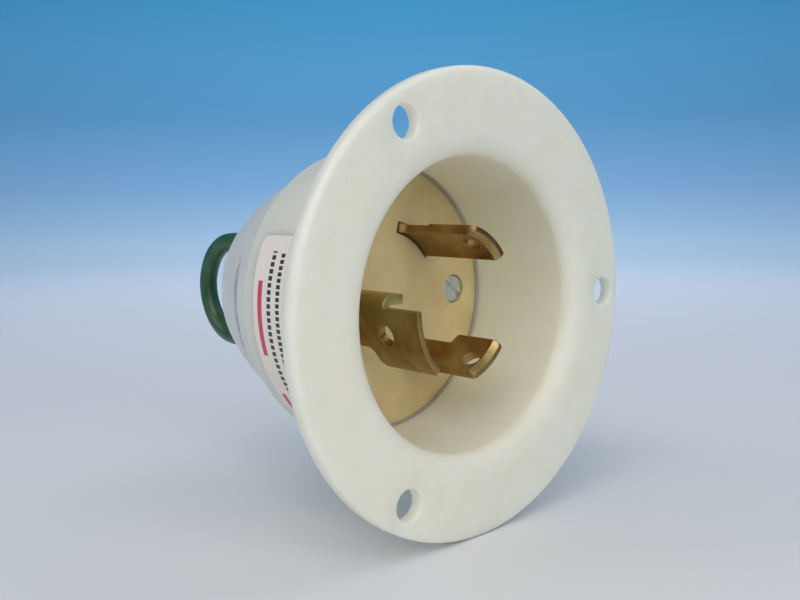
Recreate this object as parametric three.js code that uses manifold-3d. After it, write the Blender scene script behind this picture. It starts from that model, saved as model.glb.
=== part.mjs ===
// Flanged locking power inlet: a round nylon flange with a deep recess, three curved brass blades,
// a rear cover with wire entries, clamp terminals inside it and a green bonding wire in a loop behind.
// Millimetres, +Z up. The origin is the centre of the flange's panel-seating face.
// The blades look out along -Y and the body runs back along +Y. Angles go from +X towards +Z.
import * as THREE from "three";
import { mergeVertices } from "three/addons/utils/BufferGeometryUtils.js";
import Module from "manifold-3d";

const wasm = await Module();
wasm.setup();

const gap = 0.3; // between neighbouring pieces
const reach = 1; // how far a cutter runs past the faces that it cuts
const fineStep = 6; // degrees between the facets of large round surfaces
const roundSides = 360 / fineStep;
const holeSides = 20;
// How far the middle of a rounded edge stands in from its corner, in radii.
const roundMiddle = 1 - Math.SQRT1_2;

const flange = { radius: 35.5, thickness: 2.2, edge: 0.8, screwCircle: 31, screwHole: 2.4 };
const flangeHoleAngles = [0, 120, 240];

const throat = { startRadius: 27, radius: 22.6, endY: 0.8, steps: 6 };
const recess = { floorY: 18.5, floorRadius: 22.1, lipRadius: 21.3, lipThickness: 0.5 };
const skirt = { frontRadius: 24.9, rearRadius: 24.2, rearY: 25.6, fillet: 1, chamfer: 0.7 };
const socketRadius = 22.3;

const carrier = { radius: 22, frontY: recess.floorY + recess.lipThickness + gap, rearY: 23.2 };

const blade = { innerRadius: 11, outerRadius: 12.5, corner: 0.8, hole: 1.6 };
const bevel = { depth: 0.75, length: 1.4 };
// Each blade spans from one angle to another, and behind its shoulder only as far as its neck.
const blades = {
  line: {
    span: { from: 34.5, to: 77, neckTo: 71.5 },
    tipY: 2.2,
    shoulderY: 12.2,
    hole: { angle: 55, y: 5.9 },
    terminal: 53,
  },
  neutral: {
    span: { from: -75, to: -36, neckTo: -45 },
    tipY: 2.3,
    shoulderY: 11.2,
    hole: { angle: -59, y: 5.4 },
    terminal: -60,
  },
  ground: {
    span: { from: 176, to: 229, neckTo: 210 },
    tipY: -1,
    shoulderY: 10.6,
    hole: { angle: 198, y: 6.4 },
    terminal: 207,
  },
};
const slotPlay = 2; // degrees of room at each end of a blade's slot in the carrier
const hookTab = { angle: 174, innerRadius: 8.2, outerRadius: 12.3, thickness: 1.5, frontY: 6.4 };

const terminal = { y: 27.8, clampInner: 15.2, clampOuter: 16.2, wireOffset: 12.5 };
const tailArc = { before: 16, after: 19, rearY: 31.5 };
const clampArc = { before: 10, after: 18, frontY: 24.8, rearY: 31 };
const terminalScrew = { shank: 1.75, head: 2.9, headInner: 16.4, headOuter: 18, tip: 10, holeBottom: 7.2 };

const core = { radius: 10.6, frontY: carrier.rearY + gap, shoulderY: 33, postRadius: 6.5, rearY: 42.2 };
const partitions = [
  { angle: 106, radius: 16.5 },
  { angle: 256, radius: 16.5 },
  { angle: 0, radius: 12.6 },
];
const partition = { thickness: 2.4, innerRadius: 8, rearY: 36 };

const cover = { seamY: 25.9, spigotInner: 20.3, spigotOuter: 22, rearY: 44.5, rearWall: 2 };
const coverOutside = [
  [23.3, 25.9],
  [22.9, 27],
  [21.9, 30],
  [20.9, 33],
  [19.8, 36],
  [18.6, 39],
  [17.2, 42],
  [16.6, 43.2],
  [15.9, 44],
  [14.8, 44.5],
];
const coverInside = [
  [14.6, 42.5],
  [15.6, 41],
  [17, 39],
  [18.4, 36],
  [19.6, 33],
  [20.4, 30],
  [20.9, 27],
  [20.3, 25.9],
];
const wireEntry = { radius: 3.2, circle: 11.9 };
const wireEntryAngles = [
  blades.line.terminal + terminal.wireOffset,
  blades.neutral.terminal + terminal.wireOffset,
  188,
];
const entryCutFrontY = 40; // past the thickest of the cover's rear wall

const assembly = { circle: 16.2, angles: { right: 0, left: 180 }, hole: 1.75 };
const assemblyHead = { radius: 2.4, pocket: 2.75, frontY: 19.9, rearY: 21.2, pocketY: 22 };
const assemblyShank = { radius: 1.45, rearY: 30.6 };
const washer = { innerRadius: 1.7, outerRadius: 2.4, frontY: 21.3, rearY: 21.8 };
const nut = { side: 5, frontY: 26.6, rearY: 28.6 };
const nutBoss = { halfWidth: 4, innerRadius: 12.9, outerRadius: 21, rearY: 31, pocketSide: 5.6 };
const screwSlot = { width: 0.9, depth: 0.6 };

const strap = { innerRadius: 18.6, outerRadius: 19.2, frontY: 31.2, rearY: 33.4, from: 132, to: 222 };
const strapHole = 1;
// The strap bows out into the cover's slot, where it can be seen and reached.
const strapBow = {
  innerRadius: 20.3,
  outerRadius: 20.9,
  frontY: 31.3,
  rearY: 32.9,
  from: 162,
  to: 204,
  sideAngle: 1.8,
};
const strapSlot = { from: 160, to: 206, frontY: 31, rearY: 33.2 };
const lug = { angle: 143, innerRadius: 17, outerRadius: 18, halfWidth: 2.6, frontY: 29.6, rearY: 34.8 };
const lugHole = 1.3;
const lugBarrel = { radius: 2.3, bore: 1.3, circle: 14.9, frontY: 34.2, rearY: 37 };
const rivet = { shank: 0.7, head: 2, headInner: 16.5, headOuter: 16.8, tip: 19.1, y: 32.2 };

const wire = { radius: 1.6, sides: 8, steps: 44, conductor: 1.03 };
const loopHole = { x: -10.45, halfHeight: 8.6, radius: 2 };
// The bonding wire's centreline: from the strap's lug, out of the rear, round and back to the ground clamp.
const wireRoute = [
  [-11.9, 37.7, 8.97],
  [-11.75, 38.7, 8.93],
  [-11.2, 39.8, 8.8],
  [-10.6, 41, 8.62],
  [-10.45, 42.6, 8.6],
  [-10.45, 44.6, 8.6],
  [-10.45, 46.6, 8.6],
  [-10.45, 48.6, 8.55],
  [-10.45, 51, 8.2],
  [-10.45, 53.2, 7.2],
  [-10.45, 55.1, 5.6],
  [-10.45, 56.5, 3.4],
  [-10.45, 57.2, 1.1],
  [-10.45, 57.2, -1.1],
  [-10.45, 56.5, -3.4],
  [-10.45, 55.1, -5.6],
  [-10.45, 53.2, -7.2],
  [-10.45, 51, -8.2],
  [-10.45, 48.6, -8.55],
  [-10.45, 46.6, -8.6],
  [-10.45, 44.6, -8.6],
  [-10.45, 42, -8.6],
  [-10.5, 39.5, -8.7],
  [-10.65, 37, -8.8],
  [-10.69, 34.5, -8.81],
];

const label = { from: 153, to: 236, frontY: 8.4, rearY: 22.4, clearance: 0.15, thickness: 0.2 };

const nylon = finish(0xd6d2c2, 0.35, 0);
const carrierNylon = finish(0xb7a985, 0.45, 0);
const brass = finish(0x8a6a2c, 0.38, 1);
const zincSteel = finish(0x9aa6ad, 0.35, 1);
const greenPaint = finish(0x2c6b42, 0.4, 0.3);
const nickel = finish(0xb8b4aa, 0.3, 1);
const copper = finish(0xb0683f, 0.35, 1);
const greenInsulation = finish(0x1d4f31, 0.3, 0);
const paper = finish(0xefe6d8, 0.6, 0);

function finish(color, roughness, metalness) {
  return new THREE.MeshStandardMaterial({ color, roughness, metalness });
}

function radians(degrees) {
  return THREE.MathUtils.degToRad(degrees);
}

// A point [x, z] at an angle on a circle round the Y axis.
function onCircle(radius, angle) {
  return [radius * Math.cos(radians(angle)), radius * Math.sin(radians(angle))];
}

// A closed three.js geometry as a solid that can be cut and joined.
function solidOf(geometry) {
  geometry.deleteAttribute("normal");
  geometry.deleteAttribute("uv");
  const merged = mergeVertices(geometry, 1e-4);
  const corners = merged.index.array;
  const kept = [];
  for (let i = 0; i < corners.length; i += 3) {
    const [a, b, c] = [corners[i], corners[i + 1], corners[i + 2]];
    if (a !== b && b !== c && c !== a) kept.push(a, b, c);
  }
  const mesh = new wasm.Mesh({
    numProp: 3,
    vertProperties: merged.attributes.position.array,
    triVerts: new Uint32Array(kept),
  });
  return new wasm.Manifold(mesh);
}

// The solid as a named mesh.
function piece(name, solid, material) {
  const { numProp, numVert, triVerts, vertProperties } = solid.getMesh();
  const positions = new Float32Array(numVert * 3);
  for (let i = 0; i < numVert; i++) {
    positions.set(vertProperties.subarray(i * numProp, i * numProp + 3), i * 3);
  }
  const geometry = new THREE.BufferGeometry();
  geometry.setAttribute("position", new THREE.BufferAttribute(positions, 3));
  geometry.setIndex(new THREE.BufferAttribute(triVerts, 1));
  geometry.computeVertexNormals();
  const mesh = new THREE.Mesh(geometry, material);
  mesh.name = name;
  return mesh;
}

// A profile of [radius, y] points turned round the Y axis, going up its outer side and down its inner side.
function revolved(profile, closed = true) {
  const points = profile.map(([radius, y]) => new THREE.Vector2(radius, y));
  if (closed) points.push(points[0].clone());
  return solidOf(new THREE.LatheGeometry(points, roundSides));
}

// An outline of [x, z] points drawn out along Y.
function prismAlongY(outline, lowY, highY) {
  const shape = new THREE.Shape(outline.map(([x, z]) => new THREE.Vector2(x, z)));
  const geometry = new THREE.ExtrudeGeometry(shape, { depth: highY - lowY, bevelEnabled: false });
  geometry.rotateX(Math.PI / 2);
  geometry.translate(0, highY, 0);
  return solidOf(geometry);
}

// A part of a ring round the Y axis, with its facets on the same steps as every revolved surface.
function ringSector(innerRadius, outerRadius, from, to, lowY, highY) {
  const angles = [from];
  for (let a = Math.floor(from / fineStep + 1) * fineStep; a < to; a += fineStep) angles.push(a);
  angles.push(to);
  const outside = angles.map((a) => onCircle(outerRadius, a));
  const inside = angles.map((a) => onCircle(innerRadius, a)).reverse();
  return prismAlongY([...outside, ...inside], lowY, highY);
}

// A cylinder along Y whose axis stands at [x, z].
function axialCylinder(radius, lowY, highY, [x, z] = [0, 0], sides = holeSides) {
  const geometry = new THREE.CylinderGeometry(radius, radius, highY - lowY, sides);
  geometry.translate(x, (lowY + highY) / 2, z);
  return solidOf(geometry);
}

// Turns a geometry whose own +Z is outward, so that it looks out from the Y axis at an angle.
function facingOut(geometry, angle, y) {
  geometry.rotateY(radians(90 - angle));
  geometry.translate(0, y, 0);
  return solidOf(geometry);
}

// A cylinder whose axis is a radius of the Y axis.
function radialCylinder(radius, from, to, angle, y) {
  const geometry = new THREE.CylinderGeometry(radius, radius, to - from, holeSides);
  geometry.rotateX(Math.PI / 2);
  geometry.translate(0, 0, (from + to) / 2);
  return facingOut(geometry, angle, y);
}

// A block between two radii, width across and lowY to highY along the axis.
function radialBlock(width, from, to, angle, lowY, highY, aside = 0) {
  const geometry = new THREE.BoxGeometry(width, highY - lowY, to - from);
  geometry.translate(aside, 0, (from + to) / 2);
  return facingOut(geometry, angle, (lowY + highY) / 2);
}

function flangeHousing() {
  const { radius, thickness, edge } = flange;
  const profile = [
    [radius - edge, -thickness],
    [radius - edge * roundMiddle, edge * roundMiddle - thickness],
    [radius, edge - thickness],
    [radius, 0],
    [skirt.frontRadius + skirt.fillet, 0],
    [skirt.frontRadius + skirt.fillet * roundMiddle, skirt.fillet * roundMiddle],
    [skirt.frontRadius, skirt.fillet],
    [skirt.rearRadius, skirt.rearY - skirt.chamfer],
    [skirt.rearRadius - skirt.chamfer, skirt.rearY],
    [socketRadius, skirt.rearY],
    [socketRadius, recess.floorY + recess.lipThickness],
    [recess.lipRadius, recess.floorY + recess.lipThickness],
    [recess.lipRadius, recess.floorY],
    [recess.floorRadius, recess.floorY],
  ];
  for (let i = 0; i <= throat.steps; i++) {
    const turn = (i / throat.steps) * (Math.PI / 2);
    profile.push([
      throat.startRadius - (throat.startRadius - throat.radius) * Math.cos(turn),
      throat.endY - (throat.endY + thickness) * Math.sin(turn),
    ]);
  }
  let body = revolved(profile);
  for (const angle of flangeHoleAngles) {
    const centre = onCircle(flange.screwCircle, angle);
    body = body.subtract(axialCylinder(flange.screwHole, -thickness - reach, reach, centre));
  }
  return piece("flange_housing", body, nylon);
}

function bladeCarrier() {
  const through = [carrier.frontY - reach, carrier.rearY + reach];
  let disc = axialCylinder(carrier.radius, carrier.frontY, carrier.rearY, [0, 0], roundSides);
  for (const { span } of Object.values(blades)) {
    const inner = blade.innerRadius - gap;
    const outer = blade.outerRadius + gap;
    disc = disc.subtract(ringSector(inner, outer, span.from - slotPlay, span.neckTo + slotPlay, ...through));
  }
  for (const angle of Object.values(assembly.angles)) {
    const centre = onCircle(assembly.circle, angle);
    const { pocket, pocketY } = assemblyHead;
    disc = disc.subtract(axialCylinder(assembly.hole, ...through, centre));
    disc = disc.subtract(axialCylinder(pocket, carrier.frontY - reach, pocketY, centre));
  }
  return piece("blade_carrier", disc, carrierNylon);
}

// The sheared bevel on the inner face of a blade's tip, as a cutter.
function tipBevel(tipY) {
  const { innerRadius } = blade;
  const past = (bevel.depth / bevel.length) * reach;
  return revolved([
    [innerRadius - reach, tipY - reach],
    [innerRadius + bevel.depth + past, tipY - reach],
    [innerRadius, tipY + bevel.length],
    [innerRadius - reach, tipY + bevel.length],
  ]);
}

// The corner that is clipped off a blade's tip at one end of its arc, as a cutter.
function tipCorner(angle, tipY) {
  const size = blade.corner;
  const geometry = new THREE.BoxGeometry(size * 2, size * 2, blade.outerRadius);
  geometry.rotateZ(Math.PI / 4);
  geometry.translate(0, 0, blade.outerRadius);
  return facingOut(geometry, angle, tipY - size * Math.SQRT1_2);
}

function contactBlade(name, { span, tipY, shoulderY, hole, terminal: clampAngle }) {
  const radii = [blade.innerRadius, blade.outerRadius];
  const cutRadii = [blade.innerRadius - reach, blade.outerRadius + reach];
  const tail = [clampAngle - tailArc.before, clampAngle + tailArc.after];
  let strip = ringSector(...radii, span.from, span.to, tipY, shoulderY);
  strip = strip.add(ringSector(...radii, span.from, span.neckTo, shoulderY - reach, core.frontY + reach));
  strip = strip.add(ringSector(...radii, ...tail, core.frontY, tailArc.rearY));
  strip = strip.subtract(tipBevel(tipY));
  strip = strip.subtract(tipCorner(span.from, tipY));
  strip = strip.subtract(tipCorner(span.to, tipY));
  strip = strip.subtract(radialCylinder(blade.hole, ...cutRadii, hole.angle, hole.y));
  strip = strip.subtract(radialCylinder(terminalScrew.shank + gap, ...cutRadii, clampAngle, terminal.y));
  return piece(name, strip, brass);
}

// The ground blade has one edge turned in towards the axis, which keeps other plugs out.
function groundBlade() {
  const plain = contactBlade("blade_ground", blades.ground);
  const { angle, innerRadius, outerRadius, thickness, frontY } = hookTab;
  const tab = radialBlock(thickness, innerRadius, outerRadius, angle, frontY, carrier.frontY - gap);
  return piece("blade_ground", solidOf(plain.geometry).add(tab), brass);
}

function terminalBody() {
  let body = axialCylinder(core.radius, core.frontY, core.shoulderY, [0, 0], roundSides);
  body = body.add(axialCylinder(core.postRadius, core.frontY, core.rearY, [0, 0], roundSides));
  for (const { angle, radius } of partitions) {
    const { thickness, innerRadius, rearY } = partition;
    body = body.add(radialBlock(thickness, innerRadius, radius, angle, core.frontY, rearY));
  }
  for (const { terminal: angle } of Object.values(blades)) {
    const { shank, holeBottom } = terminalScrew;
    body = body.subtract(radialCylinder(shank + gap, holeBottom, core.radius + reach, angle, terminal.y));
  }
  return piece("terminal_body", body, carrierNylon);
}

function rearCover() {
  const { seamY, spigotInner, spigotOuter, rearY, rearWall } = cover;
  let shell = revolved(
    [
      [0, rearY - rearWall],
      ...coverInside,
      [spigotInner, core.frontY],
      [spigotOuter, core.frontY],
      [spigotOuter, seamY],
      ...coverOutside,
      [0, rearY],
    ],
    false,
  );
  const { halfWidth, innerRadius, outerRadius, rearY: bossRearY, pocketSide } = nutBoss;
  for (const angle of Object.values(assembly.angles)) {
    const centre = onCircle(assembly.circle, angle);
    shell = shell.add(radialBlock(halfWidth * 2, innerRadius, outerRadius, angle, seamY, bossRearY));
    const pocketInner = assembly.circle - pocketSide / 2;
    const pocketOuter = assembly.circle + pocketSide / 2;
    const pocketY = [seamY - reach, nut.rearY + gap];
    shell = shell.subtract(radialBlock(pocketSide, pocketInner, pocketOuter, angle, ...pocketY));
    shell = shell.subtract(axialCylinder(assembly.hole, seamY, bossRearY + reach, centre));
  }
  const { from, to, frontY, rearY: slotRearY } = strapSlot;
  shell = shell.subtract(ringSector(strap.outerRadius, coverOutside[0][0], from, to, frontY, slotRearY));
  for (const angle of wireEntryAngles) {
    const centre = onCircle(wireEntry.circle, angle);
    shell = shell.subtract(axialCylinder(wireEntry.radius, entryCutFrontY, rearY + reach, centre));
  }
  for (const side of [1, -1]) {
    const centre = [loopHole.x, side * loopHole.halfHeight];
    shell = shell.subtract(axialCylinder(loopHole.radius, entryCutFrontY, rearY + reach, centre));
  }
  return piece("rear_cover", shell, nylon);
}

function clampPlate(name, angle) {
  const { before, after, frontY, rearY } = clampArc;
  const { clampInner, clampOuter, y } = terminal;
  const plate = ringSector(clampInner, clampOuter, angle - before, angle + after, frontY, rearY);
  const hole = radialCylinder(terminalScrew.shank + gap, clampInner - reach, clampOuter + reach, angle, y);
  return piece(name, plate.subtract(hole), nickel);
}

function clampScrew(name, angle, material) {
  const { shank, head, headInner, headOuter, tip } = terminalScrew;
  const { width, depth } = screwSlot;
  let screw = radialCylinder(head, headInner, headOuter, angle, terminal.y);
  screw = screw.add(radialCylinder(shank, tip, headInner + depth, angle, terminal.y));
  const slotHalf = head + reach;
  const slotEnds = [terminal.y - slotHalf, terminal.y + slotHalf];
  const slot = radialBlock(width, headOuter - depth, headOuter + reach, angle, ...slotEnds);
  return piece(name, screw.subtract(slot), material);
}

function assemblyScrew(name, angle) {
  const centre = onCircle(assembly.circle, angle);
  const { radius, frontY, rearY } = assemblyHead;
  const { width, depth } = screwSlot;
  let screw = axialCylinder(radius, frontY, rearY, centre);
  screw = screw.add(axialCylinder(assemblyShank.radius, rearY - depth, assemblyShank.rearY, centre));
  const from = assembly.circle - radius - reach;
  const to = assembly.circle + radius + reach;
  const slot = radialBlock(width, from, to, angle, frontY - reach, frontY + depth);
  return piece(name, screw.subtract(slot), zincSteel);
}

function lockWasher(name, angle) {
  const centre = onCircle(assembly.circle, angle);
  const { innerRadius, outerRadius, frontY, rearY } = washer;
  const disc = axialCylinder(outerRadius, frontY, rearY, centre);
  const hole = axialCylinder(innerRadius, frontY - reach, rearY + reach, centre);
  return piece(name, disc.subtract(hole), zincSteel);
}

function squareNut(name, angle) {
  const { side, frontY, rearY } = nut;
  const [inner, outer] = [assembly.circle - side / 2, assembly.circle + side / 2];
  const block = radialBlock(side, inner, outer, angle, frontY, rearY);
  const hole = axialCylinder(assembly.hole, frontY - reach, rearY + reach, onCircle(assembly.circle, angle));
  return piece(name, block.subtract(hole), brass);
}

function groundStrap() {
  const { innerRadius, outerRadius, frontY, rearY, from, to } = strap;
  const bow = strapBow;
  const open = [bow.from + bow.sideAngle, bow.to - bow.sideAngle, frontY - reach, rearY + reach];
  let band = ringSector(innerRadius, outerRadius, from, to, frontY, rearY);
  band = band.add(ringSector(innerRadius, bow.outerRadius, bow.from, bow.to, bow.frontY, bow.rearY));
  band = band.subtract(ringSector(innerRadius - reach, bow.innerRadius, ...open));
  const hole = radialCylinder(strapHole, innerRadius - reach, outerRadius + reach, lug.angle, rivet.y);
  return piece("ground_strap", band.subtract(hole), zincSteel);
}

function ringLug() {
  const { angle, innerRadius, outerRadius, halfWidth, frontY, rearY } = lug;
  const barrel = lugBarrel;
  const barrelCentre = onCircle(barrel.circle, angle);
  let body = radialBlock(halfWidth * 2, innerRadius, outerRadius, angle, frontY, rearY);
  body = body.add(axialCylinder(barrel.radius, barrel.frontY, barrel.rearY, barrelCentre));
  body = body.subtract(axialCylinder(barrel.bore, barrel.frontY - reach, barrel.rearY + reach, barrelCentre));
  body = body.subtract(radialCylinder(lugHole, innerRadius - reach, outerRadius + reach, angle, rivet.y));
  return piece("ring_lug", body, nickel);
}

function strapRivet() {
  const { shank, head, headInner, headOuter, tip, y } = rivet;
  let body = radialCylinder(head, headInner, headOuter, lug.angle, y);
  body = body.add(radialCylinder(shank, headInner, tip, lug.angle, y));
  return piece("strap_rivet", body, zincSteel);
}

function bondingWire() {
  const curve = new THREE.CatmullRomCurve3(wireRoute.map(([x, y, z]) => new THREE.Vector3(x, y, z)));
  const section = new THREE.Shape();
  for (let i = 0; i < wire.sides; i++) {
    const turn = (i / wire.sides) * Math.PI * 2;
    const [x, y] = [wire.radius * Math.cos(turn), wire.radius * Math.sin(turn)];
    if (i === 0) section.moveTo(x, y);
    else section.lineTo(x, y);
  }
  const settings = { steps: wire.steps, extrudePath: curve, bevelEnabled: false };
  return piece("bonding_wire", solidOf(new THREE.ExtrudeGeometry(section, settings)), greenInsulation);
}

// The bare ends of the bonding wire: one in the lug's barrel, one under the ground clamp.
function bareEnds() {
  const [, lugRearY] = wireRoute[0];
  const inBarrel = onCircle(lugBarrel.circle, lug.angle);
  const lugEnd = axialCylinder(wire.conductor, lugBarrel.frontY + gap, lugRearY - gap, inBarrel);
  const [clampX, clampRearY, clampZ] = wireRoute[wireRoute.length - 1];
  const clampEnd = axialCylinder(wire.conductor, clampArc.frontY, clampRearY - gap, [clampX, clampZ]);
  return [piece("wire_end_at_lug", lugEnd, copper), piece("wire_end_at_clamp", clampEnd, copper)];
}

function noticeLabel() {
  const { from, to, frontY, rearY, clearance, thickness } = label;
  const skirtRadius = (y) => {
    const along = (y - skirt.fillet) / (skirt.rearY - skirt.chamfer - skirt.fillet);
    return THREE.MathUtils.lerp(skirt.frontRadius, skirt.rearRadius, along);
  };
  const inner = (y) => skirtRadius(y) + clearance;
  const sleeve = revolved([
    [inner(frontY), frontY],
    [inner(frontY) + thickness, frontY],
    [inner(rearY) + thickness, rearY],
    [inner(rearY), rearY],
  ]);
  const radii = [skirt.rearRadius - reach, skirt.frontRadius + reach];
  const window = ringSector(...radii, from, to, frontY - reach, rearY + reach);
  return piece("notice_label", sleeve.intersect(window), paper);
}

const inlet = new THREE.Group();
inlet.add(flangeHousing(), bladeCarrier(), terminalBody(), rearCover());
inlet.add(contactBlade("blade_line", blades.line), contactBlade("blade_neutral", blades.neutral));
inlet.add(groundBlade());
for (const [name, material] of Object.entries({ line: brass, neutral: nickel, ground: greenPaint })) {
  const angle = blades[name].terminal;
  inlet.add(clampPlate("clamp_plate_" + name, angle), clampScrew("clamp_screw_" + name, angle, material));
}
for (const [side, angle] of Object.entries(assembly.angles)) {
  inlet.add(assemblyScrew("assembly_screw_" + side, angle), lockWasher("lock_washer_" + side, angle));
  inlet.add(squareNut("square_nut_" + side, angle));
}
inlet.add(groundStrap(), ringLug(), strapRivet(), bondingWire(), ...bareEnds(), noticeLabel());

export default inlet;
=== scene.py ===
import math

import bmesh
import bpy
from mathutils import Matrix, Vector


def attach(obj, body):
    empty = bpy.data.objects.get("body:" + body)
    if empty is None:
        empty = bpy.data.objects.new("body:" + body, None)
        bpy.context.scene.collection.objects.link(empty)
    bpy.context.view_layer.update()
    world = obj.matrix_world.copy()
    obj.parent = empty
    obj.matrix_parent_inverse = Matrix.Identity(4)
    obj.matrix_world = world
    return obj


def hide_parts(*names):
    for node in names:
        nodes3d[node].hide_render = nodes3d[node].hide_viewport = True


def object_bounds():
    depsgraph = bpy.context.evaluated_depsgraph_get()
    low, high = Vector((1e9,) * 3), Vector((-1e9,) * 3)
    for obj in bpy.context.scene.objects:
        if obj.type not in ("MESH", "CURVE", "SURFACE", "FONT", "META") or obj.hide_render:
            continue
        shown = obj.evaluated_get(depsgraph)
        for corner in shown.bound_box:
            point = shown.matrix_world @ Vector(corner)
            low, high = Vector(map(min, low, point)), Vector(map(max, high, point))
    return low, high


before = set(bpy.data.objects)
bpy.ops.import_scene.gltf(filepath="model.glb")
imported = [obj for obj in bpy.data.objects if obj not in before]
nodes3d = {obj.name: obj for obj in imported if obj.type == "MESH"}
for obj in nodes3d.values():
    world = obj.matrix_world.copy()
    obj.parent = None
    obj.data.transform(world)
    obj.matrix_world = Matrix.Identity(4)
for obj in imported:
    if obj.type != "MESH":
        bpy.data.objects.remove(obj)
cadBox = [list(corner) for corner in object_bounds()]
scene = bpy.context.scene
mm = 0.001
mergeDistance = 2e-6
filletStep = 0.16  # length of one straight step on a fillet, in millimetres
print("frame loaded:", len(nodes3d), "nodes")


camera = {
    "azimuth": -43.28, "elevation": 6.939, "roll": -0.55,
    "distance": 140.892, "aside": 10.897, "above": -0.996, "lens": 41.89,
}


def placeCamera():
    turn, rise, roll = (math.radians(camera[k]) for k in ("azimuth", "elevation", "roll"))
    back = Vector((math.sin(turn) * math.cos(rise), -math.cos(turn) * math.cos(rise), math.sin(rise)))
    levelRight = (-back).cross(Vector((0, 0, 1))).normalized()
    levelUp = levelRight.cross(-back)
    right = math.cos(roll) * levelRight + math.sin(roll) * levelUp
    up = math.cos(roll) * levelUp - math.sin(roll) * levelRight
    lens = bpy.data.cameras.new("camera")
    lens.sensor_width = 36
    lens.lens = camera["lens"]
    lens.clip_start = 0.004
    lens.clip_end = 10
    eye = bpy.data.objects.new("camera", lens)
    place = (back * camera["distance"] - right * camera["aside"] - up * camera["above"]) * mm
    eye.matrix_world = Matrix.Translation(place) @ Matrix((right, up, back)).transposed().to_4x4()
    scene.collection.objects.link(eye)
    scene.camera = eye


placeCamera()
scene.view_settings.view_transform = "Standard"
print("camera placed")


def around(radius, angle, y):
    # a point on a circle round the Y axis, all in millimetres and degrees
    return Vector((radius * math.cos(math.radians(angle)), y, radius * math.sin(math.radians(angle)))) * mm


def arc(centre, radius, start, end, steps):
    points = []
    for i in range(steps + 1):
        turn = math.radians(start + (end - start) * i / steps)
        points.append((centre[0] + radius * math.cos(turn), centre[1] + radius * math.sin(turn)))
    return points


def smoothLine(points, steps):
    # Catmull-Rom through the points
    line = []
    padded = [points[0]] + list(points) + [points[-1]]
    for a, b, c, d in zip(padded, padded[1:], padded[2:], padded[3:]):
        for i in range(steps):
            t = i / steps
            line.append(tuple(
                0.5 * (
                    2 * q + (r - p) * t + (2 * p - 5 * q + 4 * r - s) * t * t
                    + (3 * q - p - 3 * r + s) * t ** 3
                )
                for p, q, r, s in zip(a, b, c, d)))
    line.append(points[-1])
    return line


def roundedOutline(corners):
    # corners are (x, y, fillet radius); the fillet is drawn with short straight steps
    outline = []
    for i, (x, y, radius) in enumerate(corners):
        here = Vector((x, y))
        toLast = Vector(corners[i - 1][:2]) - here
        toNext = Vector(corners[(i + 1) % len(corners)][:2]) - here
        if radius <= 0:
            outline.append((x, y))
            continue
        toLast.normalize()
        toNext.normalize()
        half = toLast.angle(toNext) / 2
        middle = here + (toLast + toNext).normalized() * radius / math.sin(half)
        first = here + toLast * radius / math.tan(half)
        last = here + toNext * radius / math.tan(half)
        steps = max(3, int(radius * (math.pi - 2 * half) / filletStep))
        begin = math.atan2(first.y - middle.y, first.x - middle.x)
        turn = (math.atan2(last.y - middle.y, last.x - middle.x) - begin + math.pi) % (2 * math.pi) - math.pi
        for k in range(steps + 1):
            angle = begin + turn * k / steps
            outline.append((middle.x + radius * math.cos(angle), middle.y + radius * math.sin(angle)))
    return outline


def profileMesh(name, points, closed):
    mesh = bpy.data.meshes.new(name)
    count = len(points)
    edges = [(i, i + 1) for i in range(count - 1)] + ([(count - 1, 0)] if closed else [])
    mesh.from_pydata([(x * mm, y * mm, 0) for x, y in points], edges, [])
    return mesh


def placed(name, mesh):
    piece = bpy.data.objects.new(name, mesh)
    scene.collection.objects.link(piece)
    return piece


def faceOutwards(shape):
    bmesh.ops.recalc_face_normals(shape, faces=shape.faces)
    if shape.calc_volume(signed=True) < 0:
        bmesh.ops.reverse_faces(shape, faces=shape.faces)


def finishShape(piece, sharpAngle=32):
    clean = bmesh.new()
    clean.from_mesh(piece.data)
    bmesh.ops.remove_doubles(clean, verts=clean.verts, dist=mergeDistance)
    bmesh.ops.dissolve_degenerate(clean, edges=clean.edges, dist=1e-6)
    faceOutwards(clean)
    clean.to_mesh(piece.data)
    clean.free()
    piece.data.polygons.foreach_set("use_smooth", [True] * len(piece.data.polygons))
    piece.data.set_sharp_from_angle(angle=math.radians(sharpAngle))


def settle(piece, body, slotName, *replaced):
    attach(piece, body)
    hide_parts(*replaced)
    print("  ", piece.name, len(piece.data.polygons), "faces")


def evaluated(piece):
    depsgraph = bpy.context.evaluated_depsgraph_get()
    return bpy.data.meshes.new_from_object(
        piece.evaluated_get(depsgraph), preserve_all_data_layers=True, depsgraph=depsgraph,
    )


def grow(name, tree, base, **values):
    # runs a Geometry Nodes tree on a base mesh and keeps the result as a plain mesh
    piece = placed(name, base)
    modifier = piece.modifiers.new(tree.name, "NODES")
    modifier.node_group = tree
    for item in tree.interface.items_tree:
        if item.in_out == "INPUT" and item.name in values:
            modifier[item.identifier] = values[item.name]
    result = evaluated(piece)
    piece.modifiers.remove(modifier)
    piece.data = result
    return piece


def carve(piece, cutters, operation="DIFFERENCE"):
    for cutter in cutters:
        modifier = piece.modifiers.new("carve", "BOOLEAN")
        modifier.operation = operation
        modifier.solver = "EXACT"
        modifier.object = cutter
    result = evaluated(piece)
    piece.modifiers.clear()
    piece.data = result
    for cutter in cutters:
        bpy.data.objects.remove(cutter)


def block(name, angle, width, inner, outer, frontY, rearY):
    # a plain cutter block that looks out along a radius
    mesh = bpy.data.meshes.new(name)
    shape = bmesh.new()
    bmesh.ops.create_cube(shape, size=1)
    for vertex in shape.verts:
        across, along, up = vertex.co
        radius = (inner + outer) / 2 + up * (outer - inner)
        centre = around(radius, angle, (frontY + rearY) / 2 + along * (rearY - frontY))
        vertex.co = centre + around(across * width, angle + 90, 0)
    faceOutwards(shape)
    shape.to_mesh(mesh)
    shape.free()
    return placed(name, mesh)


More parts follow.
